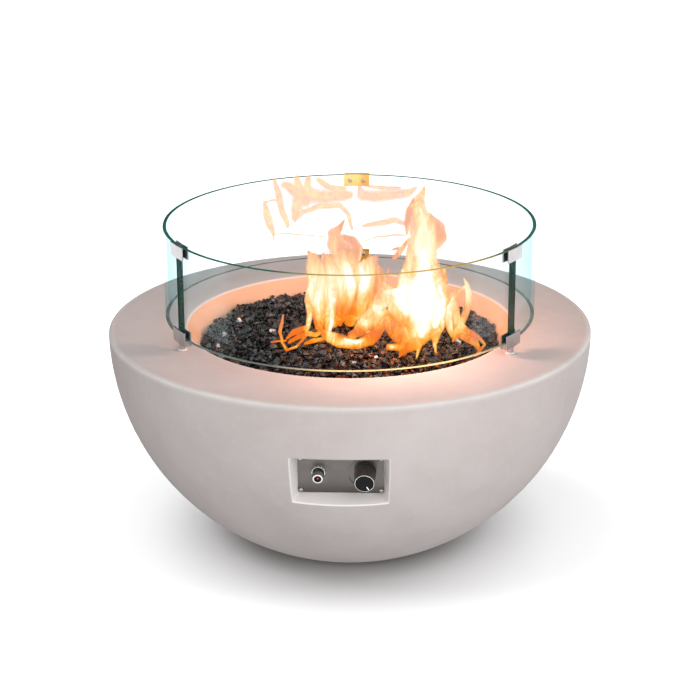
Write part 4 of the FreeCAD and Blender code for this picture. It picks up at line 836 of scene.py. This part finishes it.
flame("flame_low", [
    [(118, 1112, 8, -.1), (160, 1072, 20, -.09), (212, 1050, 20, -.08), (256, 1030, 10, -.07)],
    [(128, 1140, 10, -.11), (190, 1100, 18, -.1), (250, 1080, 20, -.085), (316, 1090, 18, -.08), (350, 1066, 12, -.07)],
    [(6, 1136, 5, -.12), (54, 1128, 7, -.12), (110, 1126, 6, -.115)],
    [(236, 1150, 10, -.11), (300, 1132, 18, -.1), (352, 1122, 14, -.09), (392, 1110, 12, -.08)],
], seed=8.0, wobble=10.0, step=4.2, shift=-0.06)

# broad, cooler fire that joins the tongues behind them
flame("flame_veil_left", [
    [(290, 575, 40, .05), (306, 690, 66, .048), (312, 800, 66, .04), (316, 900, 54, .03), (330, 980, 34, .01)],
    [(392, 580, 46, .055), (410, 690, 80, .052), (424, 810, 84, .045), (420, 910, 70, .035), (424, 1000, 44, .01)],
    [(520, 640, 72, .075), (540, 740, 90, .07), (532, 840, 70, .06), (500, 930, 46, .05), (480, 1000, 32, .02)],
    [(640, 640, 56, .075), (650, 740, 80, .07), (654, 830, 56, .065)],
    [(728, 640, 34, .07), (720, 740, 52, .065), (736, 830, 62, .05), (700, 900, 44, .04)],
], seed=11.0, gain=0.70, thick=0.9, wobble=14.0, step=6.0, shift=-0.05)
flame("flame_veil_right", [
    [(800, 770, 30, .05), (850, 830, 66, .04), (880, 900, 60, .02), (900, 980, 56, -.01), (930, 1070, 56, -.05), (948, 1140, 26, -.09)],
    [(930, 690, 40, .06), (960, 800, 90, .04), (1010, 920, 110, .01), (1010, 1040, 96, -.03), (990, 1120, 50, -.08)],
    [(1120, 640, 30, .08), (1150, 760, 56, .05), (1166, 880, 60, .02), (1160, 990, 54, -.02), (1130, 1080, 34, -.06)],
    [(640, 1010, 26, .0), (710, 980, 44, .0), (780, 950, 46, .0), (850, 960, 40, .0)],
    [(800, 1010, 20, -.04), (850, 1060, 34, -.06), (900, 1110, 38, -.09), (960, 1120, 44, -.1), (1030, 1130, 30, -.11)],
    [(1236, 800, 14, -.03), (1262, 880, 34, -.04), (1262, 960, 40, -.05), (1268, 1040, 36, -.07), (1320, 1080, 34, -.09), (1392, 1130, 22, -.12)],
], seed=12.0, gain=0.72, thick=0.9, wobble=14.0, step=6.0, shift=-0.07)


# white heart of the fire, low in the tall flames and along the left tongues
flame("flame_heart", [
    [(1046, 520, 16, .03), (1050, 620, 44, -.04), (1044, 740, 84, -.12), (1040, 850, 110, -.17), (1044, 950, 100, -.19), (1040, 1030, 66, -.20), (1028, 1090, 26, -.21)],
    [(930, 720, 22, -.10), (900, 800, 44, -.13), (884, 860, 40, -.14), (930, 920, 50, -.16)],
    [(1160, 760, 18, -.08), (1162, 860, 36, -.12), (1154, 960, 36, -.16), (1130, 1030, 22, -.19)],
    [(700, 920, 8, -.12), (740, 860, 24, -.12), (800, 810, 34, -.12), (860, 800, 30, -.12)],
], seed=15.0, gain=1.34, thick=0.8, wobble=12.0, step=5.6)
flame("flame_heart_left", [
    [(308, 640, 10, -.02), (320, 730, 24, -.05), (318, 840, 26, -.08), (322, 950, 20, -.10), (332, 1030, 10, -.12)],
    [(404, 640, 12, -.01), (426, 740, 28, -.05), (434, 850, 28, -.08), (424, 960, 22, -.10), (412, 1050, 12, -.13)],
    [(500, 540, 14, .03), (530, 660, 38, .0), (558, 760, 42, -.02), (540, 850, 30, -.04), (512, 940, 14, -.05)],
    [(620, 620, 14, .02), (652, 700, 34, .0), (646, 790, 38, -.02), (612, 870, 22, -.04)],
    [(520, 1120, 8, -.20), (590, 1140, 16, -.20), (650, 1120, 16, -.20), (700, 1070, 12, -.18)],
], seed=16.0, gain=1.38, thick=0.8, wobble=10.0, step=5.2)


def seen(x, y):
    """Frame units of a point measured in an enlarged view of the guard's rear pane."""
    return (x / 6.272 - 15.0) * UNIT, (y / 6.272 - 10.0) * UNIT


def ghost(points, depth):
    out = []
    for x, y, r in points:
        a, b = seen(x, y)
        out.append((a, b, r * UNIT / 6.272, depth))
    return out


# painted reflection: the fire mirrored faintly in the rear pane, drawn as thin glowing sheets just in front of it
flame("painted_reflection_left", [
    ghost([(126, 88, 12), (150, 190, 26), (176, 290, 26), (206, 380, 18)], .335),
    ghost([(262, 84, 26), (276, 160, 40), (270, 240, 40), (250, 330, 24)], .345),
    ghost([(336, 82, 16), (330, 150, 40), (320, 230, 36)], .352),
    ghost([(190, 130, 30), (300, 190, 54), (420, 200, 56), (520, 190, 50), (590, 190, 30)], .352),
    ghost([(250, 350, 10), (300, 292, 20), (420, 256, 22), (530, 256, 20), (590, 310, 18), (604, 400, 10)], .36),
    ghost([(52, 230, 10), (70, 300, 26), (96, 380, 26), (116, 440, 12), (120, 478, 5)], .325),
    ghost([(60, 236, 8), (110, 222, 10), (170, 226, 10)], .33),
    ghost([(400, 90, 16), (470, 140, 24), (560, 150, 20)], .358),
    ghost([(120, 436, 5), (220, 432, 6), (330, 440, 5), (430, 450, 4)], .345),
], seed=13.0, gain=0.22, thick=0.62, wobble=10.0, step=5.0, fatness=0.15, body="wind_guard", slot="clear_glass")
flame("painted_reflection_right", [
    ghost([(664, 140, 16), (676, 190, 40), (770, 196, 46), (870, 186, 40), (960, 176, 30), (1010, 150, 14)], .36),
    ghost([(700, 130, 10), (800, 140, 16), (900, 146, 14)], .36),
    ghost([(680, 384, 10), (730, 370, 20), (800, 362, 22), (870, 344, 24), (930, 366, 20)], .355),
    ghost([(684, 478, 4), (760, 450, 6), (860, 438, 7), (950, 440, 6)], .35),
], seed=14.0, gain=0.20, thick=0.60, wobble=9.0, step=5.0, fatness=0.15, body="wind_guard", slot="clear_glass")

# ------------------------------------------------------------------ setting marks beside the knob
def mark_material():
    g = Graph("plate_marks")
    fade = g.noise(900.0, 3.0, 0.6)
    base = g.mix(g.remap(fade, 0.4, 0.75), (0.012, 0.011, 0.011), (0.05, 0.045, 0.042))
    return g.finish(g.principled(base, g.remap(fade, 0.3, 0.7, 0.4, 0.6), 0.0, g.bump(fade, 0.1, 0.0001)))


def knob_marks():
    """A dotted arc above and a line that swells below, printed on the plate to the left of the knob."""
    cx, cy = KNOB_UV
    verts, faces = [], []

    def band(path, low=0.00005, high=0.00018):
        """Closed low bar along path points (u, v, half width)."""
        start = len(verts)
        for k, (u, v, half) in enumerate(path):
            u0, v0, _ = path[max(0, k - 1)]
            u1, v1, _ = path[min(len(path) - 1, k + 1)]
            t = Vector((u1 - u0, v1 - v0)).normalized()
            for side in (1, -1):
                for w in (low, high):
                    uu, vv = u - t.y * half * side, v + t.x * half * side
                    verts.append((uu, PLATE_ORIGIN.y - vv * math.sin(TILT) - w * math.cos(TILT), PLATE_ORIGIN.z + vv * math.cos(TILT) - w * math.sin(TILT)))
        for k in range(len(path) - 1):
            a, b = start + 4 * k, start + 4 * k + 4
            faces.extend([[a + 1, b + 1, b + 3, a + 3], [a, a + 2, b + 2, b], [a, b, b + 1, a + 1], [a + 2, a + 3, b + 3, b + 2]])
        end = start + 4 * (len(path) - 1)
        faces.extend([[start, start + 1, start + 3, start + 2], [end, end + 2, end + 3, end + 1]])

    dots = [on_plate(*q) for q in ((352.3, 463.0), (348.7, 469.6))]
    r0 = [math.hypot(u - cx, v - cy) for u, v in dots]
    a0 = [math.atan2(v - cy, u - cx) % math.tau for u, v in dots]
    for k in range(5):
        t = k / 4.0
        r, a = r0[0] + t * (r0[1] - r0[0]), a0[0] + t * (a0[1] - a0[0])
        path = []
        for e in (-0.030, -0.015, 0.0, 0.015, 0.030):
            path.append((cx + r * math.cos(a + e), cy + r * math.sin(a + e), 0.0007))
        band(path)
    ends = [on_plate(*q) for q in ((348.8, 475.4), (354.6, 483.6))]
    r1 = [math.hypot(u - cx, v - cy) for u, v in ends]
    a1 = [math.atan2(v - cy, u - cx) % math.tau for u, v in ends]
    path = []
    for k in range(15):
        t = k / 14.0
        r, a = r1[0] + t * (r1[1] - r1[0]), a1[0] + t * (a1[1] - a1[0])
        r = max(r, 0.0245)
        path.append((cx + r * math.cos(a), cy + r * math.sin(a), 0.00035 + 0.00115 * t))
    band(path)
    return piece("knob_marks", verts, faces, [mark_material()], "bowl")


knob_marks()

# ------------------------------------------------------------------ floor, light and world
def floor_material():
    g = Graph("studio_floor")
    cloud = g.noise(1.4, 3.0, 0.5)
    color = g.mix(g.remap(cloud, 0.3, 0.7), (0.615, 0.617, 0.620), (0.625, 0.627, 0.630))
    # painted contact shadow: the floor darkened towards the bowl's base
    near = g.remap(g.radius(), 0.17, 0.33, 0.34, 1.0, smooth=True)
    color = g.mix(near, (0.0, 0.0, 0.0), color)
    return g.finish(g.principled(color, 0.75, 0.0, None, Specular_IOR_Level=0.1))


floor_mesh = bpy.data.meshes.new("floor")
floor_mesh.from_pydata([(-60, -60, 0), (60, -60, 0), (60, 60, 0), (-60, 60, 0)], [], [[0, 1, 2, 3]])
floor_mesh.materials.append(floor_material())
floor = bpy.data.objects.new("floor", floor_mesh)
scene.collection.objects.link(floor)

world = bpy.data.worlds.new("studio")
scene.world = world
world.use_nodes = True
wt = world.node_tree
wt.nodes.clear()
w_out = wt.nodes.new("ShaderNodeOutputWorld")
w_bg = wt.nodes.new("ShaderNodeBackground")
w_coord = wt.nodes.new("ShaderNodeTexCoord")
w_dot = wt.nodes.new("ShaderNodeVectorMath")
w_dot.operation = "DOT_PRODUCT"
w_dot.inputs[1].default_value = Vector((0.36, -0.88, -0.40)).normalized()
w_ramp = wt.nodes.new("ShaderNodeMapRange")
for key, val in (("From Min", -1.0), ("From Max", 1.0), ("To Min", 0.05), ("To Max", 1.95)):
    w_ramp.inputs[key].default_value = val
w_split = wt.nodes.new("ShaderNodeSeparateXYZ")
w_low = wt.nodes.new("ShaderNodeMapRange")
w_low.interpolation_type = "SMOOTHSTEP"
for key, val in (("From Min", -0.45), ("From Max", 0.05), ("To Min", 0.33), ("To Max", 1.0)):
    w_low.inputs[key].default_value = val
w_mul = wt.nodes.new("ShaderNodeMath")
w_mul.operation = "MULTIPLY"
wt.links.new(w_coord.outputs["Generated"], w_dot.inputs[0])
wt.links.new(w_coord.outputs["Generated"], w_split.inputs[0])
wt.links.new(w_dot.outputs["Value"], w_ramp.inputs["Value"])
wt.links.new(w_split.outputs["Z"], w_low.inputs["Value"])
wt.links.new(w_ramp.outputs["Result"], w_mul.inputs[0])
wt.links.new(w_low.outputs["Result"], w_mul.inputs[1])
wt.links.new(w_mul.outputs[0], w_bg.inputs["Strength"])
w_bg.inputs["Color"].default_value = (1.0, 0.992, 0.994, 1.0)
wt.links.new(w_bg.outputs[0], w_out.inputs["Surface"])


def lamp(name, kind, energy, color=(1, 1, 1), at=(0, 0, 0), toward=None, **settings):
    data = bpy.data.lights.new(name, kind)
    data.energy = energy
    data.color = color
    for k, v in settings.items():
        setattr(data, k, v)
    obj = bpy.data.objects.new(name, data)
    obj.location = at
    if toward is not None:
        obj.rotation_euler = (Vector(toward) - Vector(at)).to_track_quat("-Z", "Y").to_euler()
    scene.collection.objects.link(obj)
    obj.visible_camera = False
    return obj


key = lamp("key", "SUN", 0.40, (1.0, 0.985, 0.97), (1.5, -2.9, 2.6), (0, 0, 0.3), angle=math.radians(30))
key_set = bpy.data.collections.new("all_but_floor")
key_set.objects.link(floor)
key_set.collection_objects[0].light_linking.link_state = "EXCLUDE"
key.light_linking.receiver_collection = key_set
wash_set = bpy.data.collections.new("floor_only")
wash_set.objects.link(floor)
for n, (turn, power) in enumerate(((0, 2.45), (90, 0.85), (180, 3.45), (270, 0.20))):
    far = 4.0
    spot = (far * math.cos(math.radians(turn)), far * math.sin(math.radians(turn)), far * math.tan(math.radians(58)))
    wash = lamp(f"floor_wash_{n}", "SUN", power, (1.0, 1.0, 1.0), spot, (0, 0, 0), angle=math.radians(50))
    wash.light_linking.receiver_collection = wash_set
floor.visible_diffuse = False
FIRE = (1.0, 0.30, 0.07)
for args in (("fire_right", 2.6, FIRE, (0.15, 0.0, 0.55), 0.06), ("fire_left", 1.8, FIRE, (-0.04, 0.03, 0.54), 0.06),
             ("fire_front", 6.4, (1.0, 0.56, 0.44), (0.08, -0.18, 0.62), 0.06)):
    flamelet = lamp(args[0], "POINT", args[1], args[2], args[3], shadow_soft_size=args[4])
    flamelet.visible_glossy = False

scene.view_settings.view_transform = "Standard"
scene.cycles.use_denoising = True
scene.cycles.transparent_max_bounces = 64
scene.cycles.max_bounces = 10
scene.cycles.sample_clamp_indirect = 6.0
